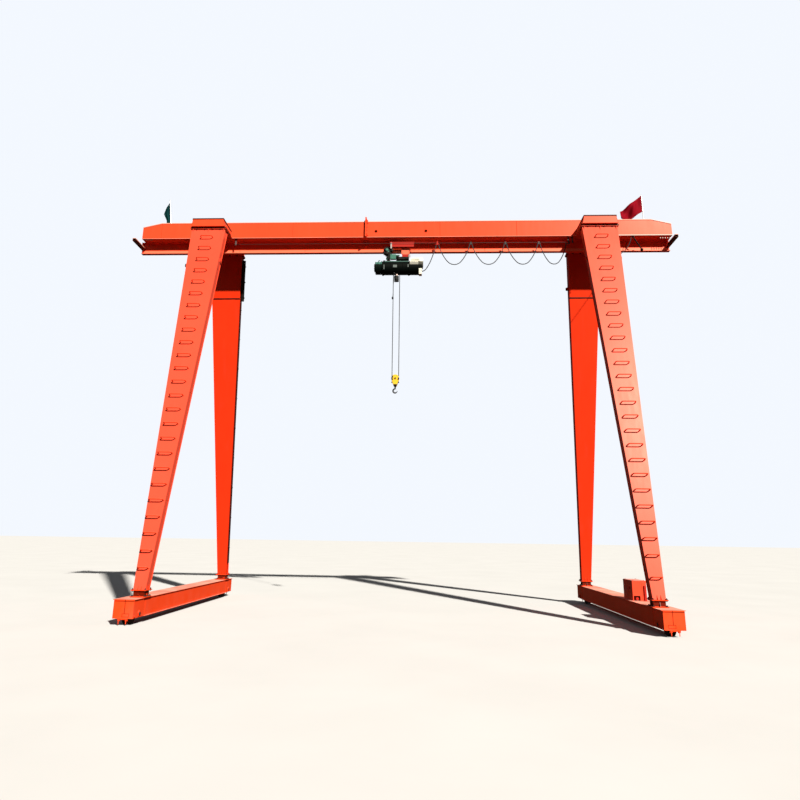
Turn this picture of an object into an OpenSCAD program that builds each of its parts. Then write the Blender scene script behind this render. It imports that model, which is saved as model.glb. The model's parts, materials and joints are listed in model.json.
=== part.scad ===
// Single-girder gantry crane on rail wheels, with a wire-rope hoist under the girder.
// X runs along the girder, Y across it and Z up. Z = 0 is the lowest point of the wheel
// flanges, and X = Y = 0 is the middle of the crane.

/* [Girder] */
// Length of the girder over both ends
girder_length = 16600; // [14800:100:18000]
// How far the running beam goes on past the box at the left end
beam_past_box = 100; // [0:10:200]
// Height of the box girder
box_height = 545; // [480:5:650]
// Width of the box girder over its webs
box_width = 660; // [560:10:760]
// Thickness of the box girder's plates
box_plate = 8; // [6:1:12]
// Length of the sloping end of the box girder's top
chamfer_length = 600; // [300:10:900]
// Drop of the sloping end
chamfer_drop = 140; // [60:5:220]
// Height of the running beam under the box
beam_height = 385; // [340:5:420]
// Width of the running beam's flanges
beam_flange_width = 136; // [122:2:150]
// Thickness of the running beam's flanges
beam_flange = 16; // [12:1:20]
// Thickness of the running beam's web
beam_web = 10; // [8:1:14]
// Distance from the middle of the crane to the bolted splice, to the left
splice_x = 1140; // [900:10:1400]
// Diameter of the round holes in the girder's webs
web_hole_d = 84; // [50:2:110]
// Length of each end stop's arm out from the running beam
stop_reach = 740; // [500:10:900]
// Size of the end stop's channel
stop_size = 90; // [60:5:110]

/* [Legs] */
// Distance from the middle of the crane to the middle of each leg pair
leg_x = 5900; // [5400:50:6400]
// Height of each leg without its end plates
leg_height = 10285; // [9000:5:11000]
// Width of a leg at its top
leg_top_width = 1016; // [900:4:1100]
// Width of a leg at its foot
leg_foot_width = 266; // [240:2:320]
// Depth of a leg, along Y
leg_depth = 250; // [200:5:300]
// Distance from the crane's middle plane to the outer face of a leg at its top
leg_top_y = 1070; // [950:10:1200]
// Distance from the crane's middle plane to the outer face of a leg at its foot
leg_foot_y = 3315; // [2900:5:3600]
// Thickness of a leg's plates
leg_plate = 8; // [6:1:12]
// Overhang of a leg's face plates beyond its side plates
leg_lip = 12; // [6:1:20]
// Thickness of the flange plates at the top of a leg
head_plate = 30; // [20:2:40]
// Overhang of the flange plates beyond the leg
head_lip = 40; // [30:5:55]
// Distance from a leg's top to the lugs on its sides
lug_drop = 1080; // [700:20:1500]

/* [Leg brackets] */
// Height of each bracket's box
bracket_height = 245; // [200:5:300]
// Width of a bracket at its top
bracket_top_width = 930; // [900:10:980]
// Width of a bracket at its bottom
bracket_foot_width = 1030; // [1000:10:1100]
// Distance from the crane's middle plane to a bracket's outer face
bracket_reach = 1175; // [1130:5:1300]

/* [Rungs] */
// Number of rungs on a left leg
rung_count_left = 25; // [20:1:25]
// Number of rungs on a right leg
rung_count_right = 26; // [20:1:26]
// Distance between rungs along a left leg
rung_pitch_left = 405; // [300:5:410]
// Distance between rungs along a right leg
rung_pitch_right = 383; // [300:1:385]
// Distance from the top of a left leg to its first rung
rung_first_left = 325; // [250:5:450]
// Distance from the top of a right leg to its first rung
rung_first_right = 375; // [250:5:450]
// Extra distance before the lowest rung of a right leg
rung_last_gap = 110; // [0:10:150]
// Full width of a rung
rung_width = 380; // [300:10:450]
// Distance from the leg to the middle of a rung's bar
rung_standoff = 110; // [80:5:150]
// Diameter of a rung's bar
rung_d = 28; // [16:2:32]

/* [Feet and carriages] */
// Height from a carriage's top to the leg
foot_height = 170; // [130:5:220]
// Width of the square flange plates at a foot
foot_plate_width = 360; // [340:10:400]
// Thickness of a foot's flange plates
foot_plate = 20; // [14:2:26]
// Distance from the middle of the crane to the middle of each carriage
carriage_x = 6000; // [5500:50:6500]
// Length of a carriage
carriage_length = 7640; // [7600:20:8200]
// Width of a carriage
carriage_width = 460; // [420:10:500]
// Height of a carriage
carriage_height = 405; // [360:5:440]
// Height of a carriage's underside
carriage_bottom = 150; // [110:5:160]
// Thickness of a carriage's plates
carriage_plate = 10; // [8:1:14]
// How far a carriage's flanges stick out past its sides
carriage_lip = 28; // [10:2:40]

/* [Rail wheels] */
// Diameter of a wheel's tread
wheel_d = 400; // [360:10:420]
// Height of a wheel's flanges over the tread
wheel_flange = 25; // [15:1:30]
// Width of a wheel over its flanges
wheel_width = 140; // [120:5:160]
// Diameter of a wheel's axle
axle_d = 80; // [60:5:90]
// Distance from a carriage's end to the wheel's middle
wheel_inset = 330; // [310:10:400]

/* [Hoist] */
// Place of the hoist along the girder, measured from the middle
hoist_x = -80; // [-300:10:300]
// Height of the hoist's middle below the running beam
hoist_drop = 525; // [500:5:560]
// Outside diameter of the rope drum's casing
casing_d = 430; // [380:10:440]
// Length of the rope drum's casing
casing_length = 860; // [780:10:900]
// Diameter of the hoist's motor
motor_d = 300; // [240:10:340]
// Length of the hoist's motor
motor_length = 380; // [350:10:480]
// Length of the gear case
gearcase_length = 210; // [160:5:260]
// Diameter of a trolley wheel
trolley_wheel_d = 130; // [110:5:140]
// Distance between the two trolley axles
trolley_base = 560; // [500:10:600]
// Thickness of a trolley's side plate
trolley_plate = 14; // [10:1:18]

/* [Hook] */
// Distance between the two rope falls
fall_gap = 200; // [180:5:220]
// Diameter of the wire rope
rope_d = 16; // [12:1:20]
// Height of the hook block's top above the floor
block_top = 6705; // [6000:5:7500]
// Height of the hook block
block_height = 345; // [320:5:380]
// Width of the hook block
block_width = 236; // [230:2:260]

/* [Festoon] */
// Distance from the crane's middle plane to the festoon wire
wire_y = 250; // [240:5:280]
// Height of the festoon wire below the box girder
wire_drop = 170; // [150:5:190]
// Diameter of the festoon wire
wire_d = 8; // [6:1:10]
// Diameter of the festoon cable
cable_d = 26; // [18:1:30]

/* [Hidden] */
$fn = 64;

// Heights, from the floor up
carriage_top = carriage_bottom + carriage_height;
leg_foot_z = carriage_top + foot_height;
leg_top_z = leg_foot_z + leg_height;
box_bottom = leg_top_z + 2 * head_plate;
box_top = box_bottom + box_height;
beam_bottom = box_bottom - beam_height;
flange_top = beam_bottom + beam_flange;
wheel_z = wheel_d / 2 + wheel_flange;
wheel_y = carriage_length / 2 - wheel_inset;
lean = atan((leg_foot_y - leg_top_y) / leg_height);
slope_length = leg_height / cos(lean);

// Joint gaps
seat_gap = 0.3;

// Hoist
hoist_z = beam_bottom - hoist_drop;
trolley_wheel_z = flange_top + trolley_wheel_d / 2 + seat_gap;
trolley_wheel_w = 34;
trolley_wheel_in = 27;
trolley_axle_d = 30;
trolley_gap = 8;
plate_y = beam_flange_width / 2 + trolley_gap;
plate_top = trolley_wheel_z + trolley_wheel_d / 2 + 10;
plate_bottom = beam_bottom - 90;
hook_x = hoist_x - 90;
drum_offset = 540;
drum_left = hoist_x - drum_offset;
drum_right = drum_left + casing_length;
axle_x = [hoist_x - 350, hoist_x - 350 + trolley_base];
guide_z = hoist_z - casing_d / 2;
motor_z = hoist_z + 100;
motor_y = -70;
cradle_length = 380;
slot_depth = 70;
weight_drop = 80;
shank_d = 44;
crosshead_top = 46;

// Splice, flagpoles and rail sweepers
splice_half = 20;
splice_rise = 110;
splice_lip = 100;
splice_low = plate_top + 40;
pole_inset = [153, 100];
pole_lean = [-7.2, 0];
beam_left = -girder_length / 2 - beam_past_box;
pole_x = [-girder_length / 2 + chamfer_length + pole_inset[0],
  girder_length / 2 - chamfer_length - pole_inset[1]];
pole_d = 26;
pole_height = 1030;
sweeper_bottom = 35;

// Drive cover, seen from its front
cover_size = [340, 720, 475];
cover_front = -1700;

// Flags: the corners of each, from its pole's top
flag_small = [[0, -140], [-90, -330], [-175, -550], [-100, -780], [-105, -920], [0, -900]];
flag_large = [[0, -30], [-650, -600], [-560, -930], [-330, -930], [0, -590]];
flag_half = 3;

// Festoon
wire_z = box_bottom - wire_drop;
wire_inset = 620;
wire_end_x = leg_x - wire_inset;
tow_x = 1106;
carrier_x = [2145, 3213, 4243];
cable_end_x = 5118;
saddle_drop = 66;
saddle_r = 46;
cable_z = wire_z - saddle_drop;
loop_sag = 675;
supply_d = 20;

// The cable's place beside its saddle, as shares of a loop's width and of its sag
loop_path = [
  [0, 0], [0, 0.06], [0.045, 0.25], [0.14, 0.54], [0.25, 0.78], [0.36, 0.93], [0.5, 0.985],
  [0.64, 0.93], [0.75, 0.78], [0.86, 0.54], [0.955, 0.25], [1, 0.06], [1, 0]
];
// The cable from the hoist's control box to the towed carrier
hoist_path = [
  [620.3, -220, 9965], [650, -220, 9965], [720, -221, 10005], [790, -223, 10100],
  [850, -226, 10210], [900, -230, 10320], [945, -235, 10440], [985, -239, 10560],
  [1025, -244, 10665], [1052, -249, 10755], [1060, -250, 10805], [1060, -250, 10833.7]
];
// The supply cable from the girder's underside to the front right leg
supply_path = [
  [7060, -280, 11069.7], [7060, -280, 11030], [7035, -305, 10930], [6985, -365, 10820],
  [6920, -455, 10710], [6840, -580, 10590], [6760, -720, 10470], [6680, -850, 10360],
  [6590, -975, 10255], [6490, -1090, 10155], [6420, -1160, 10075], [6398, -1180, 10010],
  [6398, -1180, 9975.3]
];

// Shapes that are used by several pieces

// A shape in X and Z, extruded along Y from y0 to y1
module along_y(y0, y1) {
  translate([0, y1, 0]) rotate([90, 0, 0]) linear_extrude(y1 - y0) children();
}

// A shape in Y and Z, extruded along X from x0 to x1
module along_x(x0, x1) {
  translate([x0, 0, 0]) rotate([90, 0, 90]) linear_extrude(x1 - x0) children();
}

// A block given by its two opposite corners
module block(low, high) {
  translate(low) cube(high - low);
}

// A round bar along X
module bar_x(x0, x1, d) {
  translate([x0, 0, 0]) rotate([0, 90, 0]) cylinder(h = x1 - x0, d = d);
}

// A round bar along Y
module bar_y(y0, y1, d) {
  translate([0, y1, 0]) rotate([90, 0, 0]) cylinder(h = y1 - y0, d = d);
}

// A cable: rings of eight points along a path, closed at both ends
module cable(path, d) {
  sides = 8;
  last = len(path) - 1;
  rings = [for (i = [0:last])
    let (ahead = path[min(i + 1, last)] - path[max(i - 1, 0)])
    let (t = ahead / norm(ahead))
    let (side = cross(t, [0, 1, 0]))
    let (u = norm(side) > 0.2 ? side / norm(side) : [1, 0, 0])
    let (v = cross(t, u))
    for (k = [0:sides - 1])
      path[i] + d / 2 * (cos(360 * k / sides) * u + sin(360 * k / sides) * v)];
  walls = [for (i = [0:last - 1], k = [0:sides - 1])
    let (n = (k + 1) % sides)
    [i * sides + k, i * sides + n, (i + 1) * sides + n, (i + 1) * sides + k]];
  start_cap = [[for (k = [sides - 1:-1:0]) k]];
  end_cap = [[for (k = [0:sides - 1]) last * sides + k]];
  polyhedron(points = rings, faces = concat(walls, start_cap, end_cap));
}

// The box girder's side outline, sloping at its outer end
module box_side(x0, x1) {
  end_x = girder_length / 2;
  slope_x = end_x - chamfer_length;
  intersection() {
    polygon([
      [-end_x, box_bottom], [end_x, box_bottom],
      [end_x, box_top - chamfer_drop], [slope_x, box_top],
      [-slope_x, box_top], [-end_x, box_top - chamfer_drop]
    ]);
    translate([x0, box_bottom]) square([x1 - x0, box_height]);
  }
}

// A stretch of the hollow box girder, closed at both ends
module girder_box(x0, x1, holes) {
  w = box_width / 2;
  p = box_plate;
  color("orangered")
  difference() {
    along_y(-w, w) box_side(x0, x1);
    along_y(-w + p, w - p) offset(delta = -p) box_side(x0, x1);
    for (x = holes) translate([x, 0, box_bottom + box_height * 0.38]) bar_y(-w - 1, w + 1, web_hole_d);
  }
}

// The running beam's outline in Y and Z, grown by a gap
module beam_outline(gap) {
  f = beam_flange_width / 2 + gap;
  translate([-f, beam_bottom - gap]) square([2 * f, beam_flange + 2 * gap]);
  translate([-f, box_bottom - beam_flange - gap]) square([2 * f, beam_flange + gap]);
  translate([-beam_web / 2 - gap, beam_bottom]) square([beam_web + 2 * gap, beam_height]);
}

module girder_box_left() {
  girder_box(-girder_length / 2, -splice_x - splice_half, []);
}

module girder_box_right() {
  girder_box(-splice_x + splice_half, girder_length / 2, [-820, 745]);
}

// The running beam's web and upper flange, under the whole length of the box
module running_beam() {
  color("orangered") along_x(beam_left, girder_length / 2) difference() {
    beam_outline(0);
    lower_flange();
  }
}

// The running beam's lower flange, that the trolley's wheels run on
module running_flange() {
  color("orangered") along_x(beam_left, girder_length / 2) lower_flange();
}

module lower_flange() {
  translate([-beam_flange_width / 2, beam_bottom]) square([beam_flange_width, beam_flange]);
}

// Two flange plates bolted back to back, with gussets on both sides
module splice_flanges() {
  w = box_width / 2;
  g = 10;
  gusset_z = [box_bottom + 60, box_top - 60];
  color("orangered") {
    difference() {
      along_x(-splice_x - splice_half, -splice_x + splice_half) union() {
        translate([-w - splice_lip, box_bottom])
          square([2 * (w + splice_lip), box_height + splice_rise]);
        translate([-plate_y, splice_low]) square([2 * plate_y, box_bottom - splice_low]);
      }
      along_x(-splice_x - 2 * splice_half, -splice_x + 2 * splice_half) beam_outline(0);
    }
    for (s = [-1, 1], y = [-w + 40, -g / 2, w - 40 - g]) {
      along_y(y, y + g) polygon([
        [-splice_x + s * splice_half, box_top],
        [-splice_x + s * (splice_half + 60), box_top],
        [-splice_x + s * splice_half, box_top + splice_rise]
      ]);
    }
    for (s = [-1, 1], side = [-1, 1], z = gusset_z) {
      translate([0, 0, z]) linear_extrude(g) polygon([
        [-splice_x + s * splice_half, side * w],
        [-splice_x + s * (splice_half + 60), side * w],
        [-splice_x + s * splice_half, side * (w + splice_lip)]
      ]);
    }
  }
}

// A channel arm on the front of the beam's web, that the hoist stops at
module end_stop(side) {
  end_x = side < 0 ? beam_left : girder_length / 2;
  x = end_x - side * stop_size / 2;
  z = flange_top + 110;
  t = 8;
  color("orangered")
  along_y(-stop_reach - beam_web / 2, -beam_web / 2) difference() {
    translate([x - stop_size / 2, z]) square([stop_size, stop_size]);
    translate([x - side * t - stop_size / 2, z + t]) square([stop_size, stop_size - 2 * t]);
  }
}

module end_stops() { for (side = [-1, 1]) end_stop(side); }

// A bracket's outline in X and Z, shrunk by a margin
module bracket_outline(side, margin) {
  offset(delta = -margin) polygon([
    [side * leg_x - bracket_foot_width / 2, box_bottom],
    [side * leg_x + bracket_foot_width / 2, box_bottom],
    [side * leg_x + bracket_top_width / 2, box_bottom + bracket_height],
    [side * leg_x - bracket_top_width / 2, box_bottom + bracket_height]
  ]);
}

// The bracket that carries the girder on a leg: a hollow box on a flange plate
module bracket(side, end) {
  p = 10;
  eaves = 15;
  half = leg_top_width / 2 + head_lip;
  near_y = leg_top_y - leg_depth - head_lip;
  color("orangered")
  mirror([0, end > 0 ? 1 : 0, 0]) {
    difference() {
      along_y(-bracket_reach, -box_width / 2) bracket_outline(side, 0);
      along_y(-bracket_reach + p, -box_width / 2 - p) bracket_outline(side, p);
    }
    block([side * leg_x - bracket_top_width / 2 - eaves, -bracket_reach - 12, box_bottom + bracket_height],
          [side * leg_x + bracket_top_width / 2 + eaves, -box_width / 2, box_bottom + bracket_height + 8]);
    block([side * leg_x - half, -leg_top_y - head_lip, box_bottom - head_plate],
          [side * leg_x + half, -near_y, box_bottom]);
  }
}

module brackets() { for (side = [-1, 1], end = [-1, 1]) bracket(side, end); }

// The leg's outline seen along Y, wider by a margin on both sides
module leg_front(side, margin) {
  polygon([
    [side * leg_x - leg_foot_width / 2 - margin, leg_foot_z],
    [side * leg_x + leg_foot_width / 2 + margin, leg_foot_z],
    [side * leg_x + leg_top_width / 2 + margin, leg_top_z],
    [side * leg_x - leg_top_width / 2 - margin, leg_top_z]
  ]);
}

// The leaning slab between two depths of the leg, seen along X
module leg_slab(near, far) {
  polygon([
    [-leg_foot_y + near, leg_foot_z], [-leg_foot_y + far, leg_foot_z],
    [-leg_top_y + far, leg_top_z], [-leg_top_y + near, leg_top_z]
  ]);
}

// The part of the leg between two depths, with a margin on its sides
module leg_part(side, near, far, margin) {
  reach = leg_top_width;
  intersection() {
    along_x(side * leg_x - reach, side * leg_x + reach) leg_slab(near, far);
    along_y(-leg_foot_y - 1, 0) leg_front(side, margin);
  }
}

// A triangular gusset under the head plate, on the leg's outer face
module head_gusset(x) {
  g = 10;
  along_x(x - g / 2, x + g / 2) polygon([
    [-leg_top_y, leg_top_z], [-leg_top_y - head_lip, leg_top_z],
    [-leg_top_y - 130 * tan(lean), leg_top_z - 130]
  ]);
}

// A leg: two face plates, two side plates, a head plate with gussets, and two cable lugs
module leg(side, end) {
  half = leg_top_width / 2 + head_lip;
  near_y = leg_top_y - leg_depth - head_lip;
  lug_z = leg_top_z - lug_drop;
  lug_y = -leg_top_y - lug_drop * tan(lean) + leg_depth / 2;
  lug_x = leg_top_width / 2 - lug_drop * (leg_top_width - leg_foot_width) / 2 / leg_height;
  color("orangered")
  mirror([0, end > 0 ? 1 : 0, 0]) {
    leg_part(side, 0, leg_plate, leg_lip);
    leg_part(side, leg_depth - leg_plate, leg_depth, leg_lip);
    difference() {
      leg_part(side, leg_plate, leg_depth - leg_plate, 0);
      leg_part(side, leg_plate - 1, leg_depth - leg_plate + 1, -leg_plate);
    }
    block([side * leg_x - half, -leg_top_y - head_lip, leg_top_z],
          [side * leg_x + half, -near_y, leg_top_z + head_plate]);
    for (k = [-1, 0, 1]) head_gusset(side * leg_x + k * (leg_top_width / 2 - 40));
    for (s = [-1, 1]) translate([side * leg_x + s * (lug_x + 25), lug_y, lug_z])
      cube([70, 24, 90], center = true);
  }
}

module leg_left_front() { leg(-1, -1); }
module leg_left_rear() { leg(-1, 1); }
module leg_right_front() { leg(1, -1); }
module leg_right_rear() { leg(1, 1); }

// A bent bar welded to the leg's outer face
module rung(width) {
  half = (width - rung_d) / 2;
  $fn = 8;
  translate([0, -rung_standoff, 0]) bar_x(-width / 2, width / 2, rung_d);
  for (s = [-1, 1]) translate([s * half, 0, 0]) bar_y(-rung_standoff, 0, rung_d - 3);
}

// The rungs up a leg, narrower where the leg is narrow
module rungs(side, end) {
  count = side < 0 ? rung_count_left : rung_count_right;
  pitch = side < 0 ? rung_pitch_left : rung_pitch_right;
  first = side < 0 ? rung_first_left : rung_first_right;
  color("tomato")
  mirror([0, end > 0 ? 1 : 0, 0])
  for (i = [0:count - 1]) {
    lowered = side > 0 && i == count - 1 ? rung_last_gap : 0;
    down = first + i * pitch + lowered;
    share = down / slope_length;
    width_here = leg_top_width + (leg_foot_width - leg_top_width) * share;
    translate([side * leg_x, -leg_top_y - down * sin(lean), leg_top_z - down * cos(lean)])
      rotate([-lean, 0, 0]) rung(min(rung_width, width_here - 40));
  }
}

module rungs_left() { for (end = [-1, 1]) rungs(-1, end); }
module rungs_right() { for (end = [-1, 1]) rungs(1, end); }

// A foot: two flange plates, a short box between them, and gussets
module foot(side, end) {
  half = foot_plate_width / 2;
  y = leg_foot_y - leg_depth / 2;
  box_half = leg_foot_width / 2;
  depth_half = leg_depth / 2;
  top = leg_foot_z - foot_plate;
  low = carriage_top + foot_plate;
  g = 10;
  translate([side * leg_x, end * y, 0]) {
    block([-half, -half, top], [half, half, leg_foot_z]);
    block([-half, -half, carriage_top], [half, half, low]);
    block([-box_half, -depth_half, low], [box_half, depth_half, top]);
    for (s = [-1, 1]) {
      along_y(-g / 2, g / 2) polygon([[s * box_half, low], [s * (half - 10), low], [s * box_half, top]]);
      along_x(-g / 2, g / 2) polygon([[s * depth_half, low], [s * (half - 10), low], [s * depth_half, top]]);
    }
  }
}

module feet() { color("orangered") for (side = [-1, 1], end = [-1, 1]) foot(side, end); }

// An end carriage: a box beam, open below around its wheels
module carriage(side) {
  half = carriage_width / 2;
  end_y = carriage_length / 2;
  p = carriage_plate;
  pocket = wheel_d / 2 + wheel_flange + 30;
  pocket_in = wheel_y - pocket;
  pocket_out = end_y - p;
  color("firebrick")
  translate([side * carriage_x, 0, 0]) {
    difference() {
      block([-half, -end_y, carriage_bottom], [half, end_y, carriage_top]);
      block([-half + p, -pocket_in + p, carriage_bottom + p], [half - p, pocket_in - p, carriage_top - p]);
      for (e = [-1, 1]) {
        low_y = e > 0 ? pocket_in : -pocket_out;
        high_y = e > 0 ? pocket_out : -pocket_in;
        block([-half + p, low_y, carriage_bottom - 1], [half - p, high_y, carriage_top - p]);
        translate([0, e * wheel_y, wheel_z]) bar_x(-half - 1, half + 1, axle_d + 2 * seat_gap);
      }
    }
    for (s = [-1, 1]) {
      edge = s * (half + carriage_lip);
      block([min(s * half, edge), -end_y, carriage_top - p], [max(s * half, edge), end_y, carriage_top]);
      block([min(s * half, edge), -pocket_in, carriage_bottom], [max(s * half, edge), pocket_in, carriage_bottom + p]);
    }
    for (e = [-1, 1], s = [-1, 1]) sweeper(e, s);
  }
}

// One leg of a rail sweeper, under the end of a carriage
module sweeper(end, s) {
  x = s * (wheel_width / 2 + 15);
  y = end * (carriage_length / 2 - carriage_plate / 2);
  translate([x, y, (carriage_bottom + sweeper_bottom) / 2])
    cube([14, carriage_plate, carriage_bottom - sweeper_bottom], center = true);
}

module carriage_left() { carriage(-1); }
module carriage_right() { carriage(1); }

// A rail wheel with a flange on both sides, on its axle
module rail_wheel(side, end) {
  flange_w = 20;
  color("dimgray")
  translate([side * carriage_x, end * wheel_y, wheel_z]) {
    bar_x(-wheel_width / 2, wheel_width / 2, wheel_d);
    for (s = [-1, 1]) translate([s * (wheel_width - flange_w) / 2, 0, 0])
      bar_x(-flange_w / 2, flange_w / 2, wheel_d + 2 * wheel_flange);
    bar_x(-carriage_width / 2 - 20, carriage_width / 2 + 20, axle_d);
  }
}

module wheel_left_front() { rail_wheel(-1, -1); }
module wheel_left_rear() { rail_wheel(-1, 1); }
module wheel_right_front() { rail_wheel(1, -1); }
module wheel_right_rear() { rail_wheel(1, 1); }

// The cover over the travel drive, on the right carriage
module drive_cover() {
  low = carriage_top;
  p = 6;
  x0 = carriage_x - cover_size[0] / 2;
  x1 = carriage_x + cover_size[0] / 2;
  y0 = cover_front;
  y1 = cover_front + cover_size[1];
  high = low + cover_size[2];
  color("red")
  difference() {
    block([x0, y0, low], [x1, y1, high]);
    block([x0 + p, y0 + p, low - 1], [x1 - p, y1 - p, high - p]);
    block([x0 + 20, y0 - 1, low - 1], [x0 + 180, y0 + p + 1, low + 115]);
  }
}

module flagpoles() {
  color("silver")
  for (i = [0, 1]) translate([pole_x[i], 0, box_top]) {
    rotate([0, pole_lean[i], 0]) translate([0, 0, 5]) cylinder(h = pole_height - 5, d = pole_d);
    cylinder(h = 60, d = 2 * pole_d);
  }
}

// Puts a flag at the top of its leaning pole
module on_pole(i) {
  translate([pole_x[i], 0, box_top]) rotate([0, pole_lean[i], 0]) translate([0, 0, pole_height]) children();
}

// Two cloths: one hangs slack beside its pole, and a larger one droops to one side
module flags() {
  gap = pole_d / 2 + seat_gap;
  color("darkslategray") on_pole(0) translate([-gap, 0, 0])
    along_y(-flag_half, flag_half) polygon(flag_small);
  color("red") on_pole(1) translate([-gap, 0, 0])
    along_y(-flag_half, flag_half) polygon(flag_large);
}

// The taut wire that the cable carriers run on, with its hangers and the cable's end clamp
module festoon_wire() {
  color("gray") {
    translate([0, -wire_y, wire_z]) bar_x(-wire_end_x - 30, wire_end_x + 30, wire_d);
    for (s = [-1, 1]) difference() {
      block([s * wire_end_x - 25, -wire_y - 6, wire_z - 25], [s * wire_end_x + 25, -wire_y + 6, box_bottom]);
      translate([0, -wire_y, wire_z]) bar_x(-wire_end_x - 30, wire_end_x + 30, wire_d);
    }
    block([cable_end_x + saddle_r - 25, -wire_y + wire_d / 2 + 2, cable_z],
          [cable_end_x + saddle_r + 25, -wire_y + 18, box_bottom]);
    block([cable_end_x - saddle_r - 15, -wire_y - 18, cable_z],
          [cable_end_x + saddle_r + 25, -wire_y + 18, cable_z + 26]);
  }
}

// A carrier on the festoon wire: a block with a bore, and the cable bent over a saddle under it
module cable_carrier(x) {
  w = 44;
  color("gray")
  difference() {
    block([x - w / 2, -wire_y - 18, cable_z], [x + w / 2, -wire_y + 18, wire_z + 24]);
    translate([0, -wire_y, wire_z]) bar_x(x - w, x + w, wire_d + 2 * seat_gap);
    translate([x, -wire_y, cable_z]) saddle_bend(cable_d + 0.2);
  }
  color("black") translate([x, -wire_y, cable_z]) saddle_bend(cable_d);
}

// The half turn of cable over a saddle
module saddle_bend(d) {
  rotate([90, 0, 0]) rotate_extrude(angle = 180) translate([saddle_r, 0]) circle(d = d);
}

module cable_carrier_1() { cable_carrier(carrier_x[0]); }
module cable_carrier_2() { cable_carrier(carrier_x[1]); }
module cable_carrier_3() { cable_carrier(carrier_x[2]); }

// The trolley's side plates at each axle, with their axles and the pins below the beam
module trolley_frame() {
  half = 105;
  y0 = plate_y;
  y1 = plate_y + trolley_plate;
  color("darkred")
  for (x = axle_x) {
    for (s = [-1, 1]) mirror([0, s > 0 ? 0 : 1, 0]) difference() {
      along_y(y0, y1) polygon([
        [x - half, plate_top - 40], [x - half + 40, plate_top], [x + half - 40, plate_top],
        [x + half, plate_top - 40], [x + half, plate_bottom + 50], [x + 50, plate_bottom],
        [x - 50, plate_bottom], [x - half, plate_bottom + 50]
      ]);
      translate([x, 0, trolley_wheel_z]) bar_y(y0 - 1, y1 + 1, trolley_axle_d + 2 * seat_gap);
    }
    for (dx = [-60, 60]) translate([x + dx, 0, beam_bottom - 55]) bar_y(-y0, y0, 28);
    translate([x, 0, (plate_bottom + 30 + hoist_z + casing_d / 2 - 20) / 2])
      cube([90, 2 * y0, plate_bottom + 30 - hoist_z - casing_d / 2 + 20], center = true);
  }
}

// The two trolley wheels at one axle, on both sides of the beam's web, with their axle stubs
module trolley_wheels(x) {
  inner = beam_web / 2 + trolley_wheel_in;
  color("dimgray")
  for (s = [-1, 1]) translate([x, 0, trolley_wheel_z])
    mirror([0, s > 0 ? 0 : 1, 0]) {
      bar_y(inner, inner + trolley_wheel_w, trolley_wheel_d);
      bar_y(inner, plate_y + trolley_plate + 12, trolley_axle_d);
    }
}

module trolley_wheels_left() { trolley_wheels(axle_x[0]); }
module trolley_wheels_right() { trolley_wheels(axle_x[1]); }

// The arm that tows the first cable carrier along the wire
module tow_arm() {
  bar_y0 = -wire_y + 35;
  post_x = axle_x[0] + 60;
  bar_end = axle_x[1] + 255;
  color("crimson") {
    block([post_x - 12, -plate_y - trolley_plate - 20, trolley_wheel_z - 30],
          [post_x + 12, -plate_y - trolley_plate, wire_z + 60]);
    block([post_x - 12, bar_y0 - 10, wire_z + 30], [post_x + 12, -plate_y - trolley_plate, wire_z + 60]);
    block([post_x - 12, bar_y0 - 10, wire_z + 30], [bar_end, bar_y0 + 10, wire_z + 60]);
    translate([0, bar_y0, wire_z + 45]) bar_x(bar_end - 5, tow_x + 15, 12);
    block([tow_x - 22, -wire_y - 18, wire_z + 18], [tow_x + 22, bar_y0 + 8, wire_z + 52]);
  }
  cable_carrier(tow_x);
}

// The casing around the rope drum, with feet, end rings, a slot for the ropes, and a cradle
// for the motor
module drum_casing() {
  cut_end = drum_right + max(motor_length, cradle_length) + 1;
  color("darkslategray")
  difference() {
    union() {
      translate([0, 0, hoist_z]) {
        bar_x(drum_left, drum_right + cradle_length, casing_d);
        bar_x(drum_left, drum_left + 30, casing_d + 16);
        bar_x(drum_right - 30, drum_right, casing_d + 16);
      }
      for (x = axle_x) block([x - 70, -90, hoist_z + casing_d / 2 - 30],
                             [x + 70, 90, hoist_z + casing_d / 2 + 12]);
    }
    block([hook_x - fall_gap / 2 - 40, -40, guide_z - 1],
          [hook_x + fall_gap / 2 + 40, 40, guide_z + slot_depth]);
    for (x = axle_x) translate([x, 0, hoist_z + casing_d / 2])
      cube([90.6, 2 * plate_y + 0.6, 60], center = true);
    translate([0, motor_y, motor_z]) bar_x(drum_right, cut_end, motor_d + 2 * seat_gap);
    block([drum_right, -casing_d, motor_z], [cut_end, casing_d, motor_z + casing_d]);
  }
}

module gear_case() {
  color("seagreen")
  translate([0, 0, hoist_z]) {
    bar_x(drum_left - gearcase_length, drum_left, casing_d - 30);
    bar_x(drum_left - gearcase_length - 40, drum_left - gearcase_length, casing_d * 0.55);
  }
}

// The motor, flanged to the casing's end ring
module hoist_motor() {
  color("gainsboro")
  translate([0, motor_y, motor_z]) {
    bar_x(drum_right, drum_right + motor_length, motor_d);
    bar_x(drum_right + motor_length, drum_right + motor_length + 40, motor_d * 0.7);
  }
}

// The control box, on the casing's lower front
module control_box() {
  color("white")
  difference() {
    block([drum_right + cradle_length - 90, -300, hoist_z - 315],
          [drum_right + cradle_length, -120, hoist_z - 145]);
    translate([0, 0, hoist_z]) bar_x(drum_right, drum_right + cradle_length + 1, casing_d + 2 * seat_gap);
  }
}

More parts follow.
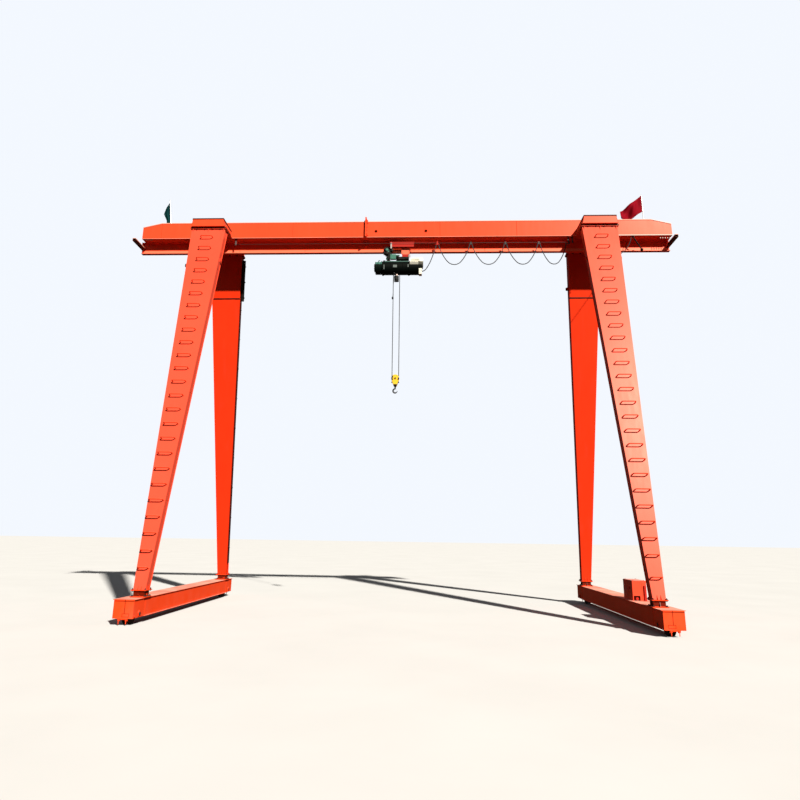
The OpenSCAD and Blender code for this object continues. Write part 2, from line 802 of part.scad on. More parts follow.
// The weight of the upper limit switch, hanging on a rod below the casing
module limit_weight() {
  color("dimgray")
  difference() {
    union() {
      block([hook_x - 70, -45, guide_z - 230], [hook_x + 70, 45, guide_z - weight_drop]);
      translate([hook_x, 0, guide_z - weight_drop]) cylinder(h = weight_drop + slot_depth - seat_gap, d = 14);
    }
    for (s = [-1, 1]) translate([hook_x + s * fall_gap / 2, 0, guide_z - 231])
      cylinder(h = 232 - weight_drop, d = rope_d + 60);
  }
}

// The two falls of the wire rope
module ropes() {
  low = block_top - block_width / 2;
  color("gray")
  for (s = [-1, 1]) translate([hook_x + s * fall_gap / 2, 0, low])
    cylinder(h = guide_z + slot_depth - seat_gap - low, d = rope_d, $fn = 24);
}

// The hook block: two cover plates around the sheave, and the crosshead below
module hook_block() {
  w = block_width / 2;
  t = 12;
  foot_w = 45;
  low = block_top - block_height;
  sheave_z = block_top - w;
  meet = 29;
  color("gold") {
    for (s = [-1, 1]) mirror([0, s > 0 ? 1 : 0, 0]) along_y(-60, -60 + t) translate([hook_x, 0]) union() {
      translate([0, sheave_z]) circle(r = w);
      polygon([
        [-w * cos(meet), sheave_z - w * sin(meet)], [-foot_w, low],
        [foot_w, low], [w * cos(meet), sheave_z - w * sin(meet)]
      ]);
    }
    translate([hook_x, 0, sheave_z]) bar_y(-72, 72, 50);
  }
  color("black")
  difference() {
    translate([hook_x, 0, low + crosshead_top - 20]) cube([90, 120, 40], center = true);
    translate([hook_x, 0, low]) cylinder(h = 70, d = shank_d + 2 * seat_gap);
  }
  color("dimgray")
  difference() {
    translate([hook_x, 0, sheave_z]) bar_y(-22, 22, fall_gap - rope_d - 2 * seat_gap);
    translate([hook_x, 0, sheave_z]) bar_y(-23, 23, 50);
  }
}

// The swivelling hook, with its nut on the crosshead
module hook() {
  low = block_top - block_height;
  bowl_r = 62;
  bar_r = 24;
  bowl_z = low - 150;
  neck_z = bowl_z + bowl_r;
  hook_open = 20;
  tip_root = 8;
  nut_z = low + crosshead_top + seat_gap;
  nut_h = 16;
  color("dimgray") {
    translate([hook_x, 0, neck_z]) cylinder(h = nut_z + nut_h - neck_z, d = shank_d);
    translate([hook_x, 0, nut_z]) cylinder(h = nut_h, d = shank_d + 26);
    translate([hook_x, 0, bowl_z]) rotate([90, 0, 0])
      rotate([0, 0, 90]) rotate_extrude(angle = 270 - hook_open) translate([bowl_r, 0]) circle(r = bar_r);
    translate([hook_x, 0, bowl_z]) rotate([0, hook_open, 0])
      translate([bowl_r, 0, -tip_root]) cylinder(h = tip_root + 26, r1 = bar_r - 1, r2 = 12);
  }
}

module hoist_cable() { color("black") cable(hoist_path, cable_d); }

// A loop of cable between two saddles
module cable_loop(left, right) {
  x0 = left + saddle_r;
  x1 = right - saddle_r;
  top = cable_z - seat_gap;
  color("black")
  cable([for (p = loop_path) [x0 + p[0] * (x1 - x0), -wire_y, top - p[1] * loop_sag]], cable_d);
}

module cable_loop_1() { cable_loop(tow_x, carrier_x[0]); }
module cable_loop_2() { cable_loop(carrier_x[0], carrier_x[1]); }
module cable_loop_3() { cable_loop(carrier_x[1], carrier_x[2]); }
module cable_loop_4() { cable_loop(carrier_x[2], cable_end_x); }

module supply_cable() { color("black") cable(supply_path, supply_d); }

girder_box_left();
girder_box_right();
running_beam();
running_flange();
splice_flanges();
end_stops();
brackets();
leg_left_front();
leg_left_rear();
leg_right_front();
leg_right_rear();
rungs_left();
rungs_right();
feet();
carriage_left();
carriage_right();
wheel_left_front();
wheel_left_rear();
wheel_right_front();
wheel_right_rear();
drive_cover();
flagpoles();
flags();
festoon_wire();
trolley_frame();
trolley_wheels_left();
trolley_wheels_right();
tow_arm();
drum_casing();
gear_case();
hoist_motor();
control_box();
limit_weight();
ropes();
hook_block();
hook();
cable_carrier_1();
cable_carrier_2();
cable_carrier_3();
hoist_cable();
cable_loop_1();
cable_loop_2();
cable_loop_3();
cable_loop_4();
supply_cable();
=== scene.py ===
"""Looks of a single-girder gantry crane: cables, flags, paint, plates, bolts, hoist details, light, camera.

X runs along the girder, Y across it and Z up, in metres."""
import json
import math
import random

import bpy
from mathutils import Matrix, Vector


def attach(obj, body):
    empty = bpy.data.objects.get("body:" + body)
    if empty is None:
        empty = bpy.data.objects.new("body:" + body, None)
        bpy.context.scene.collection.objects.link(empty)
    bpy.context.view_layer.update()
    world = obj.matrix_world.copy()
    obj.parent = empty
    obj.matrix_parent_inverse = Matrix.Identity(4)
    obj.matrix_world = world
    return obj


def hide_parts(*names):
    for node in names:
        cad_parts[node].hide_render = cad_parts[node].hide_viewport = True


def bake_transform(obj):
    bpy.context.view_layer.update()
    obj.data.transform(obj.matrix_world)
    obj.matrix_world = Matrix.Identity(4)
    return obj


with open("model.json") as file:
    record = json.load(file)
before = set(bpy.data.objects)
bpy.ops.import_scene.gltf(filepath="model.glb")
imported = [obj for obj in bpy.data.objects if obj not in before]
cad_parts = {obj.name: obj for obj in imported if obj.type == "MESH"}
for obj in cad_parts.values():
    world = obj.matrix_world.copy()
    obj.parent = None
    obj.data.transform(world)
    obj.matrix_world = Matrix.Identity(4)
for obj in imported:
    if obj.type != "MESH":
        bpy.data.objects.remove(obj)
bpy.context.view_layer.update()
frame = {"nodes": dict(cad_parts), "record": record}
rng = random.Random(11)
NODES = frame["nodes"]

# Places and sizes of the crane's main parts, which the pieces below follow
LEG_X = 5.9
LEG_TOP_Z, LEG_FOOT_Z = 11.01, 0.725
LEG_TOP_Y, LEG_FOOT_Y = 1.07, 3.315
LEG_TOP_W, LEG_FOOT_W = 1.016, 0.266
LEG_DEPTH = 0.25
BOX_LOW, BOX_HIGH, BOX_HALF = 11.07, 11.615, 0.33
GIRDER_HALF = 8.3
FLANGE_TOP, BEAM_LOW = 10.701, 10.685
WIRE_Z = 10.90
SPLICE_X = -1.14
CARRIAGE_X, CARRIAGE_TOP, CARRIAGE_LOW = 6.0, 0.555, 0.15
CARRIAGE_END, CARRIAGE_HALF = 3.82, 0.23
WHEEL_Y, WHEEL_Z = 3.49, 0.225
HOIST_Z = 10.185
DRUM_LEFT, DRUM_RIGHT, CASING_R = -0.62, 0.24, 0.215
HOOK_X, HOOK_LOW = -0.17, 6.36
AXLES = (-0.43, 0.13)
LEAN = math.atan((LEG_FOOT_Y - LEG_TOP_Y) / (LEG_TOP_Z - LEG_FOOT_Z))


# Camera

def aim_camera():
    yaw, pitch, roll = -0.0489, 0.2568, 0.0150
    fwd = Vector((math.sin(yaw) * math.cos(pitch), math.cos(yaw) * math.cos(pitch), math.sin(pitch)))
    flat = Vector((math.cos(yaw), -math.sin(yaw), 0))
    rise = flat.cross(fwd)
    right = math.cos(roll) * flat + math.sin(roll) * rise
    up = -math.sin(roll) * flat + math.cos(roll) * rise
    data = bpy.data.cameras.new("photo_camera")
    data.sensor_width = 36
    data.lens = 28.705
    data.shift_x = 0.0134
    data.shift_y = -0.0385
    data.clip_end = 800
    cam = bpy.data.objects.new("photo_camera", data)
    turn = Matrix((right, up, -fwd)).transposed().to_4x4()
    cam.matrix_world = Matrix.Translation((0.5555, -18.592, 1.992)) @ turn
    bpy.context.scene.collection.objects.link(cam)
    bpy.context.scene.camera = cam


aim_camera()


# Node helpers

class Nodes:
    """A material's node tree, with short calls for the nodes that the materials below use."""

    def __init__(self, name):
        self.mat = bpy.data.materials.new(name)
        self.mat.use_nodes = True
        self.tree = self.mat.node_tree
        self.shader = self.tree.nodes["Principled BSDF"]
        self.place = self.tree.nodes.new("ShaderNodeTexCoord").outputs["Object"]

    def new(self, kind, **values):
        n = self.tree.nodes.new(kind)
        for k, v in values.items():
            setattr(n, k, v)
        return n

    def link(self, a, b):
        if isinstance(a, (int, float)):
            b.default_value = a
        elif isinstance(a, (tuple, list)):
            b.default_value = (*a, 1) if len(a) == 3 and len(b.default_value) == 4 else a
        else:
            self.tree.links.new(a, b)

    def scaled(self, scale):
        m = self.new("ShaderNodeMapping")
        self.link(self.place, m.inputs["Vector"])
        m.inputs["Scale"].default_value = scale
        return m.outputs["Vector"]

    def noise(self, scale, detail=4, rough=0.55, place=None):
        n = self.new("ShaderNodeTexNoise")
        self.link(place or self.place, n.inputs["Vector"])
        n.inputs["Scale"].default_value = scale
        n.inputs["Detail"].default_value = detail
        n.inputs["Roughness"].default_value = rough
        n.inputs["Distortion"].default_value = 0.0
        return n.outputs["Fac"]

    def span(self, value, a, b, to_a=0.0, to_b=1.0):
        n = self.new("ShaderNodeMapRange")
        n.clamp = True
        self.link(value, n.inputs["Value"])
        n.inputs["From Min"].default_value = a
        n.inputs["From Max"].default_value = b
        n.inputs["To Min"].default_value = to_a
        n.inputs["To Max"].default_value = to_b
        return n.outputs["Result"]

    def math(self, op, a, b=0.0):
        n = self.new("ShaderNodeMath", operation=op)
        self.link(a, n.inputs[0])
        self.link(b, n.inputs[1])
        return n.outputs[0]

    def times(self, a, b):
        return self.math("MULTIPLY", a, b)

    def highest(self, a, b):
        return self.math("MAXIMUM", a, b)

    def mix(self, share, a, b):
        n = self.new("ShaderNodeMix", data_type="RGBA", blend_type="MIX")
        self.link(share, n.inputs[0])
        self.link(a, n.inputs[6])
        self.link(b, n.inputs[7])
        return n.outputs[2]

    def axis(self, index):
        n = self.new("ShaderNodeSeparateXYZ")
        self.link(self.place, n.inputs[0])
        return n.outputs[index]

    def facing_up(self):
        g = self.new("ShaderNodeNewGeometry")
        n = self.new("ShaderNodeSeparateXYZ")
        self.link(g.outputs["Normal"], n.inputs[0])
        return n.outputs[2]

    def bump(self, height, distance, strength=1.0, under=None):
        n = self.new("ShaderNodeBump")
        n.inputs["Strength"].default_value = strength
        n.inputs["Distance"].default_value = distance
        self.link(height, n.inputs["Height"])
        if under is not None:
            self.link(under, n.inputs["Normal"])
        return n.outputs["Normal"]

    def done(self, color, rough, normal=None):
        for value, name in ((color, "Base Color"), (rough, "Roughness"), (normal, "Normal")):
            if value is not None:
                self.link(value, self.shader.inputs[name])
        return self.mat


def shade(c, k):
    return tuple(min(1.0, v * k) for v in c)


EARTH_DUST = (0.62, 0.42, 0.30)
RUST = (0.16, 0.055, 0.022)
# a pale orange painted as sunlight on the running beam's lit strip
SUNLIT_STRIP_ORANGE = (0.85, 0.19, 0.10)


def paint(name, base, rough=0.33, streaks=0.15, dust=0.40, dust_color=EARTH_DUST, rust=0.4, low_dust=0.0,
          pale_share=0.04, gloss=0.16, marks=None, mark_depth=0.12, tint=None):
    """Enamel on steel plate: uneven colour, runs below edges, dust on top, specks of rust."""
    n = Nodes(name)
    patch = n.span(n.noise(0.55, 3), 0.3, 0.7)
    color = n.mix(patch, shade(base, 0.92), shade(base, 1.05))
    cloud = n.span(n.noise(4.0, 5, 0.6), 0.35, 0.75)
    color = n.mix(n.times(cloud, 0.25), color, shade(base, 0.82))
    runs = n.span(n.noise(1.0, 4, 0.6, n.scaled((7.0, 7.0, 0.35))), 0.54, 0.78)
    color = n.mix(n.times(runs, streaks), color, shade(base, 0.55))
    pale = n.span(n.noise(1.0, 3, 0.5, n.scaled((5.0, 5.0, 0.5))), 0.58, 0.8)
    color = n.mix(n.times(pale, pale_share), color, tuple(min(1, v * 0.9 + 0.10) for v in base))
    up = n.span(n.facing_up(), 0.25, 0.95)
    lying = n.times(up, n.span(n.noise(2.2, 5), 0.2, 0.75, 0.35, 1.0))
    settled = n.times(lying, dust)
    if low_dust:
        low = n.times(n.span(n.axis(2), 0.1, 0.75, 1.0, 0.0), n.span(n.noise(3.0, 5), 0.35, 0.7))
        settled = n.highest(settled, n.times(low, low_dust))
    color = n.mix(settled, color, dust_color)
    speck = n.times(n.span(n.noise(17.0, 6, 0.7), 0.66, 0.72), n.span(n.noise(0.9, 3), 0.45, 0.65))
    speck = n.times(speck, rust)
    color = n.mix(speck, color, RUST)
    # tint mixes in painted sunlight: the pale orange on the running beam's lit strip
    if tint:
        color = n.mix(tint(n), color, SUNLIT_STRIP_ORANGE)
    if marks:
        color = n.mix(marks(n), color, shade(base, mark_depth))
    shine = n.span(n.noise(1.0, 4, 0.5, n.scaled((9.0, 9.0, 0.9))), 0.3, 0.7, rough - 0.02, rough + 0.035)
    shine = n.highest(shine, n.times(settled, 0.9))
    shine = n.highest(shine, n.times(speck, 0.9))
    n.shader.inputs["Specular IOR Level"].default_value = gloss
    n.shader.inputs["Specular Tint"].default_value = (1.0, 0.90, 0.74, 1)
    waves = n.bump(n.noise(2.3, 2), 0.0012, 0.5)
    peel = n.bump(n.noise(240.0, 2), 0.0004, 0.25, waves)
    return n.done(color, shine, n.bump(speck, 0.0008, 0.8, peel))


def metal(name, base, rough, worn=(0.35, 0.33, 0.31), rust=0.3, metallic=0.75):
    """Bare or greased steel, with darker and brighter patches and some rust."""
    n = Nodes(name)
    patch = n.span(n.noise(6.0, 5), 0.3, 0.7)
    color = n.mix(patch, shade(base, 0.75), shade(base, 1.2))
    bright = n.span(n.noise(14.0, 4, 0.6), 0.6, 0.75)
    color = n.mix(n.times(bright, 0.45), color, worn)
    speck = n.times(n.span(n.noise(9.0, 6, 0.7), 0.56, 0.7), rust)
    color = n.mix(speck, color, (0.20, 0.085, 0.04))
    shine = n.span(n.noise(30.0, 4), 0.3, 0.7, rough - 0.1, rough + 0.15)
    n.shader.inputs["Metallic"].default_value = metallic
    return n.done(color, shine, n.bump(n.noise(120.0, 4), 0.0012, 0.5))


ORANGE = (0.80, 0.050, 0.008)
# copies of one orange paint, painted light: a lighter one for the sunlit front parts and a deeper one for the rear legs
LIT_FRONT_ORANGE = (0.80, 0.072, 0.022)
REAR_DEEPER_ORANGE = (0.80, 0.034, 0.006)
CREAM = (0.80, 0.78, 0.66)


def within(n, value, middle, half):
    """1 where a value lies less than half away from the middle, else 0."""
    return n.math("LESS_THAN", n.math("ABSOLUTE", n.math("SUBTRACT", value, middle)), half)


def carriage_lines_and_lip_shadow(n):
    """A vertical groove, the outline of a cover plate, and a painted shadow line under the top plate's edge, on the
    closed ends of the carriages.
    """
    across = n.math("ABSOLUTE", n.axis(0))
    end = n.math("GREATER_THAN", n.math("ABSOLUTE", n.axis(1)), CARRIAGE_END - 0.004)
    groove = within(n, across, CARRIAGE_X - 0.03, 0.007)
    groove = n.times(groove, n.math("GREATER_THAN", n.axis(2), 0.259))
    # painted shadow: a dark line just below the top plate's lip
    lip_shadow_line = n.times(n.span(n.axis(2), 0.508, 0.512), n.span(n.axis(2), 0.530, 0.526))
    frame_in, frame_out = [n.times(within(n, across, 5.94, 0.0815 - e), within(n, n.axis(2), 0.221, 0.038 - e))
                           for e in (0.009, 0.0)]
    lines = n.highest(n.highest(groove, lip_shadow_line), n.math("SUBTRACT", frame_out, frame_in))
    return n.times(lines, end)


def painted_sunlit_strip(n):
    """Painted sunlight: the lower part of the running beam, below the box's shadow line, turned pale where the sun
    falls on it, but not its underside.
    """
    low = n.span(n.math("ADD", n.axis(2), n.times(n.noise(2.0, 4), 0.02)), 10.825, 10.805)
    return n.times(low, n.times(n.span(n.facing_up(), -0.5, -0.4), 0.92))


def foot_gap_painted_shade(n):
    """Painted shade, in patches, on the upright faces of the short box between a foot's two plates, under the upper
    plate's overhang.
    """
    low = n.times(n.span(n.axis(2), 0.578, 0.584), n.span(n.axis(2), 0.703, 0.697))
    flat = n.span(n.math("ABSOLUTE", n.facing_up()), 0.5, 0.6, 1.0, 0.0)
    patch = n.span(n.noise(11.0, 4), 0.60, 0.66, 1.0, 0.15)
    return n.times(n.times(low, patch), n.times(flat, 0.97))


def lower_grime(n):
    """Oil and black dust on the lower half of the gear case."""
    edge = n.math("ADD", n.axis(2), n.times(n.noise(14.0, 4), 0.03))
    return n.times(n.span(edge, 10.250, 10.232), 0.99)


def motor_grime(n):
    """Dirt that thickens toward the motor's lower side."""
    edge = n.math("ADD", n.axis(2), n.times(n.axis(0), 0.10))
    edge = n.math("ADD", edge, n.times(n.noise(14.0, 4), 0.03))
    first = n.times(n.span(edge, 10.352, 10.330), 0.60)
    end_cap = n.times(n.span(n.axis(0), 0.500, 0.515), n.span(edge, 10.385, 10.365))
    black = n.highest(n.span(edge, 10.260, 10.235), end_cap)
    return n.highest(first, n.times(black, 0.975))


crane_orange = paint("crane_orange", ORANGE)
# front, near-leg and rear copies of one paint: painted light, lighter on the front parts and lighter still on the near
# legs, deeper on the rear legs
front_orange = paint("front_orange", LIT_FRONT_ORANGE)
rear_orange = paint("rear_orange", REAR_DEEPER_ORANGE)
leg_orange = paint("leg_orange", (0.80, 0.082, 0.040))
beam_orange = paint("beam_orange", ORANGE, tint=painted_sunlit_strip)
# pale orange: painted highlight on lit plate edges
pale_highlight = paint("pale_highlight", (0.85, 0.36, 0.25), rough=0.45, streaks=0.1, dust=0.3)
# the carriage's orange is a lighter copy of the crane's: painted light, so that its sides, lit at a slant, look as
# bright as its ends
carriage_red = paint("carriage_orange", (0.98, 0.066, 0.011), low_dust=0.06, dust=0.9,
                     dust_color=(0.92, 0.58, 0.45), streaks=0.05, marks=carriage_lines_and_lip_shadow)
cover_red = paint("cover_orange", (0.78, 0.068, 0.028), rough=0.34, streaks=0.15, low_dust=0.1, dust=0.9,
                  dust_color=(0.90, 0.58, 0.50))
rung_paint = paint("rung_paint", shade(ORANGE, 0.95), rough=0.45, streaks=0.1, gloss=0.1)
# a paler copy of the trolley paint for its front plate: painted sunlight
plate_sunlit_pale = paint("plate_sunlit_pale", (0.84, 0.16, 0.085), rough=0.42, dust=0.2)
trolley_red = paint("trolley_red", (0.78, 0.085, 0.035), rough=0.4, dust=0.2)
arm_red = paint("arm_red", (0.42, 0.016, 0.010), rough=0.45, dust=0.2)
drum_dark = paint("drum_green_black", (0.0020, 0.0036, 0.0034), rough=0.50, dust=0.05,
                  dust_color=(0.08, 0.13, 0.11), streaks=0.4, rust=0.3, pale_share=0.01, gloss=0.05)
rail_green = paint("rail_green", (0.060, 0.125, 0.108), rough=0.42, dust=0.12, dust_color=(0.16, 0.25, 0.21),
                   pale_share=0.05)
gear_green = paint("gear_green", (0.050, 0.150, 0.120), rough=0.42, gloss=0.06, dust=0.15,
                   dust_color=(0.20, 0.30, 0.25), pale_share=0.05, marks=lower_grime, mark_depth=0.03)
motor_white = paint("motor_white", CREAM, rough=0.38, streaks=0.3, dust=0.1, rust=0.2, marks=motor_grime)
box_white = paint("box_white", CREAM, rough=0.38, streaks=0.3, dust=0.1, rust=0.2)
block_yellow = paint("block_yellow", (0.80, 0.48, 0.035), rough=0.38, streaks=0.45, dust=0.2, rust=0.9)
black_paint = paint("black_paint", (0.006, 0.006, 0.0065), rough=0.42, streaks=0.2, dust=0.06, rust=0.3,
                    pale_share=0.02)
drive_green = paint("drive_green", (0.06, 0.19, 0.14), rough=0.42, dust=0.1, dust_color=(0.30, 0.40, 0.35),
                    pale_share=0.05)
plate_grey = paint("plate_grey", (0.13, 0.16, 0.15), rough=0.5, streaks=0.4, dust=0.1,
                   dust_color=(0.3, 0.32, 0.3))
foot_paint = paint("foot_paint", ORANGE, dust=0.3, marks=foot_gap_painted_shade)
# dark rusty brown, also used as painted shade on plate edges, nuts and bolt heads that lie in shadow
rust_and_shade_brown = paint("rust_and_shade_brown", (0.085, 0.008, 0.003), rough=0.5, dust=0.2,
                   dust_color=(0.30, 0.10, 0.06), rust=1.0)
pipe_brown = paint("pipe_brown", (0.030, 0.006, 0.005), rough=0.5, dust=0.1,
                   dust_color=(0.10, 0.05, 0.04), rust=0.6)
post_grey = paint("post_grey", (0.40, 0.37, 0.34), rough=0.5, streaks=0.2, dust=0.1)
lug_pale = paint("lug_pale", (0.80, 0.62, 0.55), rough=0.5, streaks=0.1, dust=0.1)
wheel_steel = metal("wheel_steel", (0.085, 0.075, 0.07), 0.5, rust=0.5)
pole_steel = metal("pole_steel", (0.66, 0.67, 0.68), 0.3, (0.8, 0.8, 0.8), 0.05, 0.35)
wire_steel = metal("wire_steel", (0.10, 0.080, 0.075), 0.5, (0.22, 0.18, 0.17), 0.25, 0.5)
clamp_iron = metal("clamp_iron", (0.02, 0.017, 0.016), 0.5, (0.06, 0.05, 0.05), 0.25, 0.5)
weight_dark = metal("weight_iron", (0.003, 0.0033, 0.0036), 0.7, (0.012, 0.012, 0.012), 0.1, 0.2)
hook_steel = metal("hook_steel", (0.028, 0.028, 0.03), 0.42, (0.16, 0.16, 0.16), 0.15, 0.7)
bolt_steel = metal("bolt_steel", (0.30, 0.28, 0.26), 0.4, (0.55, 0.53, 0.5), 0.45, 0.8)
bolt_dark = metal("bolt_dark", (0.05, 0.042, 0.038), 0.5, (0.18, 0.16, 0.15), 0.6, 0.6)
bolt_paint = paint("bolt_paint", shade(ORANGE, 0.95), rough=0.45, streaks=0.2, dust=0.3, rust=1.0)
weld_paint = paint("weld_paint", shade(ORANGE, 1.05), rough=0.5, streaks=0.1, dust=0.2, rust=0.9)


def rope_material():
    n = Nodes("rope_strands")
    wave = n.new("ShaderNodeTexWave", wave_type="BANDS", bands_direction="DIAGONAL")
    n.link(n.scaled((1, 1, 0.45)), wave.inputs["Vector"])
    wave.inputs["Scale"].default_value = 55
    wave.inputs["Distortion"].default_value = 0.4
    strand = wave.outputs["Fac"]
    color = n.mix(strand, (0.006, 0.006, 0.007), (0.030, 0.029, 0.028))
    color = n.mix(n.span(n.noise(3, 4), 0.45, 0.7), color, (0.035, 0.026, 0.018))
    n.shader.inputs["Metallic"].default_value = 0.3
    return n.done(color, n.span(n.noise(8, 3), 0.3, 0.7, 0.5, 0.7), n.bump(strand, 0.003, 0.9))


def rubber_material():
    n = Nodes("cable_rubber")
    color = n.mix(n.span(n.noise(7, 4), 0.35, 0.7), (0.006, 0.007, 0.010), (0.020, 0.022, 0.026))
    ring = n.new("ShaderNodeTexWave", wave_type="BANDS", bands_direction="Z")
    n.link(n.place, ring.inputs["Vector"])
    ring.inputs["Scale"].default_value = 30
    shine = n.span(n.noise(20, 3), 0.3, 0.7, 0.5, 0.75)
    return n.done(color, shine, n.bump(ring.outputs["Fac"], 0.0006, 0.4))


def cloth_material(name, base, worn):
    n = Nodes(name)
    weave = []
    for direction in ("X", "Z"):
        w = n.new("ShaderNodeTexWave", wave_type="BANDS", bands_direction=direction)
        n.link(n.place, w.inputs["Vector"])
        w.inputs["Scale"].default_value = 160
        w.inputs["Distortion"].default_value = 0.6
        weave.append(w.outputs["Fac"])
    threads = n.times(weave[0], weave[1])
    color = n.mix(n.span(n.noise(3.5, 5), 0.3, 0.72), base, worn)
    color = n.mix(n.times(threads, 0.25), color, shade(base, 0.5))
    n.shader.inputs["Specular IOR Level"].default_value = 0.05
    return n.done(color, n.span(threads, 0.0, 1.0, 0.72, 0.9), n.bump(threads, 0.0008, 0.5))


rope_steel = rope_material()
cable_black = rubber_material()
flag_red = cloth_material("flag_red", (0.235, 0.0016, 0.010), (0.18, 0.0014, 0.007))
flag_teal = cloth_material("flag_teal", (0.0020, 0.027, 0.029), (0.004, 0.045, 0.046))

FINISH = {
    "crane_orange": crane_orange, "carriage_red": carriage_red, "cover_red": cover_red,
    "wheel_steel": wheel_steel, "pole_steel": pole_steel, "flag_cloth": flag_red, "wire_steel": wire_steel,
    "trolley_red": trolley_red, "drum_dark": drum_dark, "gear_green": gear_green, "motor_white": motor_white,
    "weight_dark": weight_dark, "rope_steel": rope_steel, "block_yellow": block_yellow,
    "hook_steel": hook_steel, "cable_black": cable_black,
}
OWN_FINISH = {
    arm_red: ["tow_arm"], box_white: ["control_box"], foot_paint: ["feet"], rust_and_shade_brown: ["end_stops"],
    beam_orange: ["running_beam", "running_flange"], rear_orange: ["leg_left_rear", "leg_right_rear"],
    leg_orange: ["leg_left_front", "leg_right_front"],
    front_orange: ["girder_box_left", "girder_box_right", "splice_flanges", "brackets"],
    clamp_iron: ["cable_carrier_1", "cable_carrier_2", "cable_carrier_3"],
}


def cover_with(name, finish):
    for slot in NODES[name].material_slots:
        slot.material = finish


for part in frame["record"]["subparts"]:
    cover_with(part["node"], FINISH[part["material_slot"]])
for finish, names in OWN_FINISH.items():
    for name in names:
        cover_with(name, finish)


# Mesh helpers

class Shape:
    """Gathers simple solids into one mesh."""

    def __init__(self):
        self.verts = []
        self.faces = []
        self.smooth = []

    def add(self, verts, faces, smooth=False):
        k = len(self.verts)
        self.verts += [tuple(v) for v in verts]
        self.faces += [tuple(i + k for i in f) for f in faces]
        self.smooth += [smooth] * len(faces)

    def box(self, lo, hi, turn=None, about=None):
        x0, y0, z0 = (min(a, b) for a, b in zip(lo, hi))
        x1, y1, z1 = (max(a, b) for a, b in zip(lo, hi))
        v = [Vector(p) for p in ((x0, y0, z0), (x1, y0, z0), (x1, y1, z0), (x0, y1, z0),
                                 (x0, y0, z1), (x1, y0, z1), (x1, y1, z1), (x0, y1, z1))]
        if turn is not None:
            c = Vector(about) if about is not None else Vector(((x0 + x1) / 2, (y0 + y1) / 2, (z0 + z1) / 2))
            v = [turn @ (p - c) + c for p in v]
        self.add(v, [(3, 2, 1, 0), (4, 5, 6, 7), (0, 1, 5, 4), (1, 2, 6, 5), (2, 3, 7, 6), (3, 0, 4, 7)])

    def prism(self, outline, axis, a, b):
        """An outline of points in the plane across the axis ("x": y, z; "y": x, z; "z": x, y), drawn from a to b."""
        place = {"x": lambda p, h: (h, p[0], p[1]), "y": lambda p, h: (p[0], h, p[1]),
                 "z": lambda p, h: (p[0], p[1], h)}[axis]
        n = len(outline)
        self.add([place(p, a) for p in outline] + [place(p, b) for p in outline],
                 [tuple(range(n))[::-1], tuple(range(n, 2 * n))]
                 + [(i, (i + 1) % n, n + (i + 1) % n, n + i) for i in range(n)])

    def rod(self, p0, p1, r0, r1=None, sides=20, smooth=True, hole=None):
        """A round bar or cone, or a ring where hole gives the bore's radius."""
        p0, p1 = Vector(p0), Vector(p1)
        r1 = r0 if r1 is None else r1
        t = (p1 - p0).normalized()
        u = t.orthogonal().normalized()
        v = t.cross(u)
        round_ = [math.cos(2 * math.pi * k / sides) * u + math.sin(2 * math.pi * k / sides) * v for k in range(sides)]
        side = [(k, (k + 1) % sides, sides + (k + 1) % sides, sides + k) for k in range(sides)]
        ends = [p0 + d * r0 for d in round_] + [p1 + d * r1 for d in round_]
        self.add(ends, side, smooth)
        if hole:
            inner = [p0 + d * hole for d in round_] + [p1 + d * hole for d in round_]
            self.add(inner, [f[::-1] for f in side], smooth)
            for s in (0, sides):
                self.add(ends[s:s + sides] + inner[s:s + sides],
                         [(k, (k + 1) % sides, sides + (k + 1) % sides, sides + k) for k in range(sides)])
        else:
            self.add(ends, [tuple(range(sides))[::-1], tuple(range(sides, 2 * sides))])

    def tube(self, points, r, sides=8, closed_ends=True):
        points = [Vector(p) for p in points]
        last = len(points) - 1
        rings = []
        u = None
        for i, p in enumerate(points):
            t = (points[min(i + 1, last)] - points[max(i - 1, 0)]).normalized()
            u = t.orthogonal().normalized() if u is None else (u - t * u.dot(t)).normalized()
            v = t.cross(u)
            rings += [p + r * (math.cos(2 * math.pi * k / sides) * u + math.sin(2 * math.pi * k / sides) * v)
                      for k in range(sides)]
        walls = [(i * sides + k, i * sides + (k + 1) % sides, (i + 1) * sides + (k + 1) % sides, (i + 1) * sides + k)
                 for i in range(last) for k in range(sides)]
        self.add(rings, walls, True)
        if closed_ends:
            self.add(rings[:sides], [tuple(range(sides))[::-1]])
            self.add(rings[-sides:], [tuple(range(sides))])

    def bolt(self, p, out, size=0.036, length=None):
        """A hexagon head on a washer, with the bolt's round end where length is given."""
        p, out = Vector(p), Vector(out).normalized()
        self.rod(p, p + out * size * 0.11, size * 0.72, sides=12)
        self.rod(p + out * size * 0.1, p + out * size * 0.62, size * 0.56, sides=6, smooth=False)
        if length:
            self.rod(p, p + out * length, size * 0.33, sides=8)

    def bead(self, p0, p1, r=0.007, step=0.05):
        """A weld bead: a low round ridge with slightly uneven height."""
        p0, p1 = Vector(p0), Vector(p1)
        n = max(2, int((p1 - p0).length / step))
        side = (p1 - p0).normalized().orthogonal() * r * 0.25
        self.tube([p0.lerp(p1, i / n) + side * rng.uniform(-1, 1) for i in range(n + 1)], r, 6)

    def turned(self, profile, center, axis, sides=32, smooth=True):
        """A turned shape: profile of (distance along axis, radius)."""
        c, t = Vector(center), Vector(axis).normalized()
        u = t.orthogonal().normalized()
        v = t.cross(u)
        m = len(profile)
        pts = [c + t * h + r * (math.cos(2 * math.pi * k / sides) * u + math.sin(2 * math.pi * k / sides) * v)
               for k in range(sides) for h, r in profile]
        self.add(pts, [(k * m + i, k * m + i + 1, ((k + 1) % sides) * m + i + 1, ((k + 1) % sides) * m + i)
                       for k in range(sides) for i in range(m - 1)], smooth)

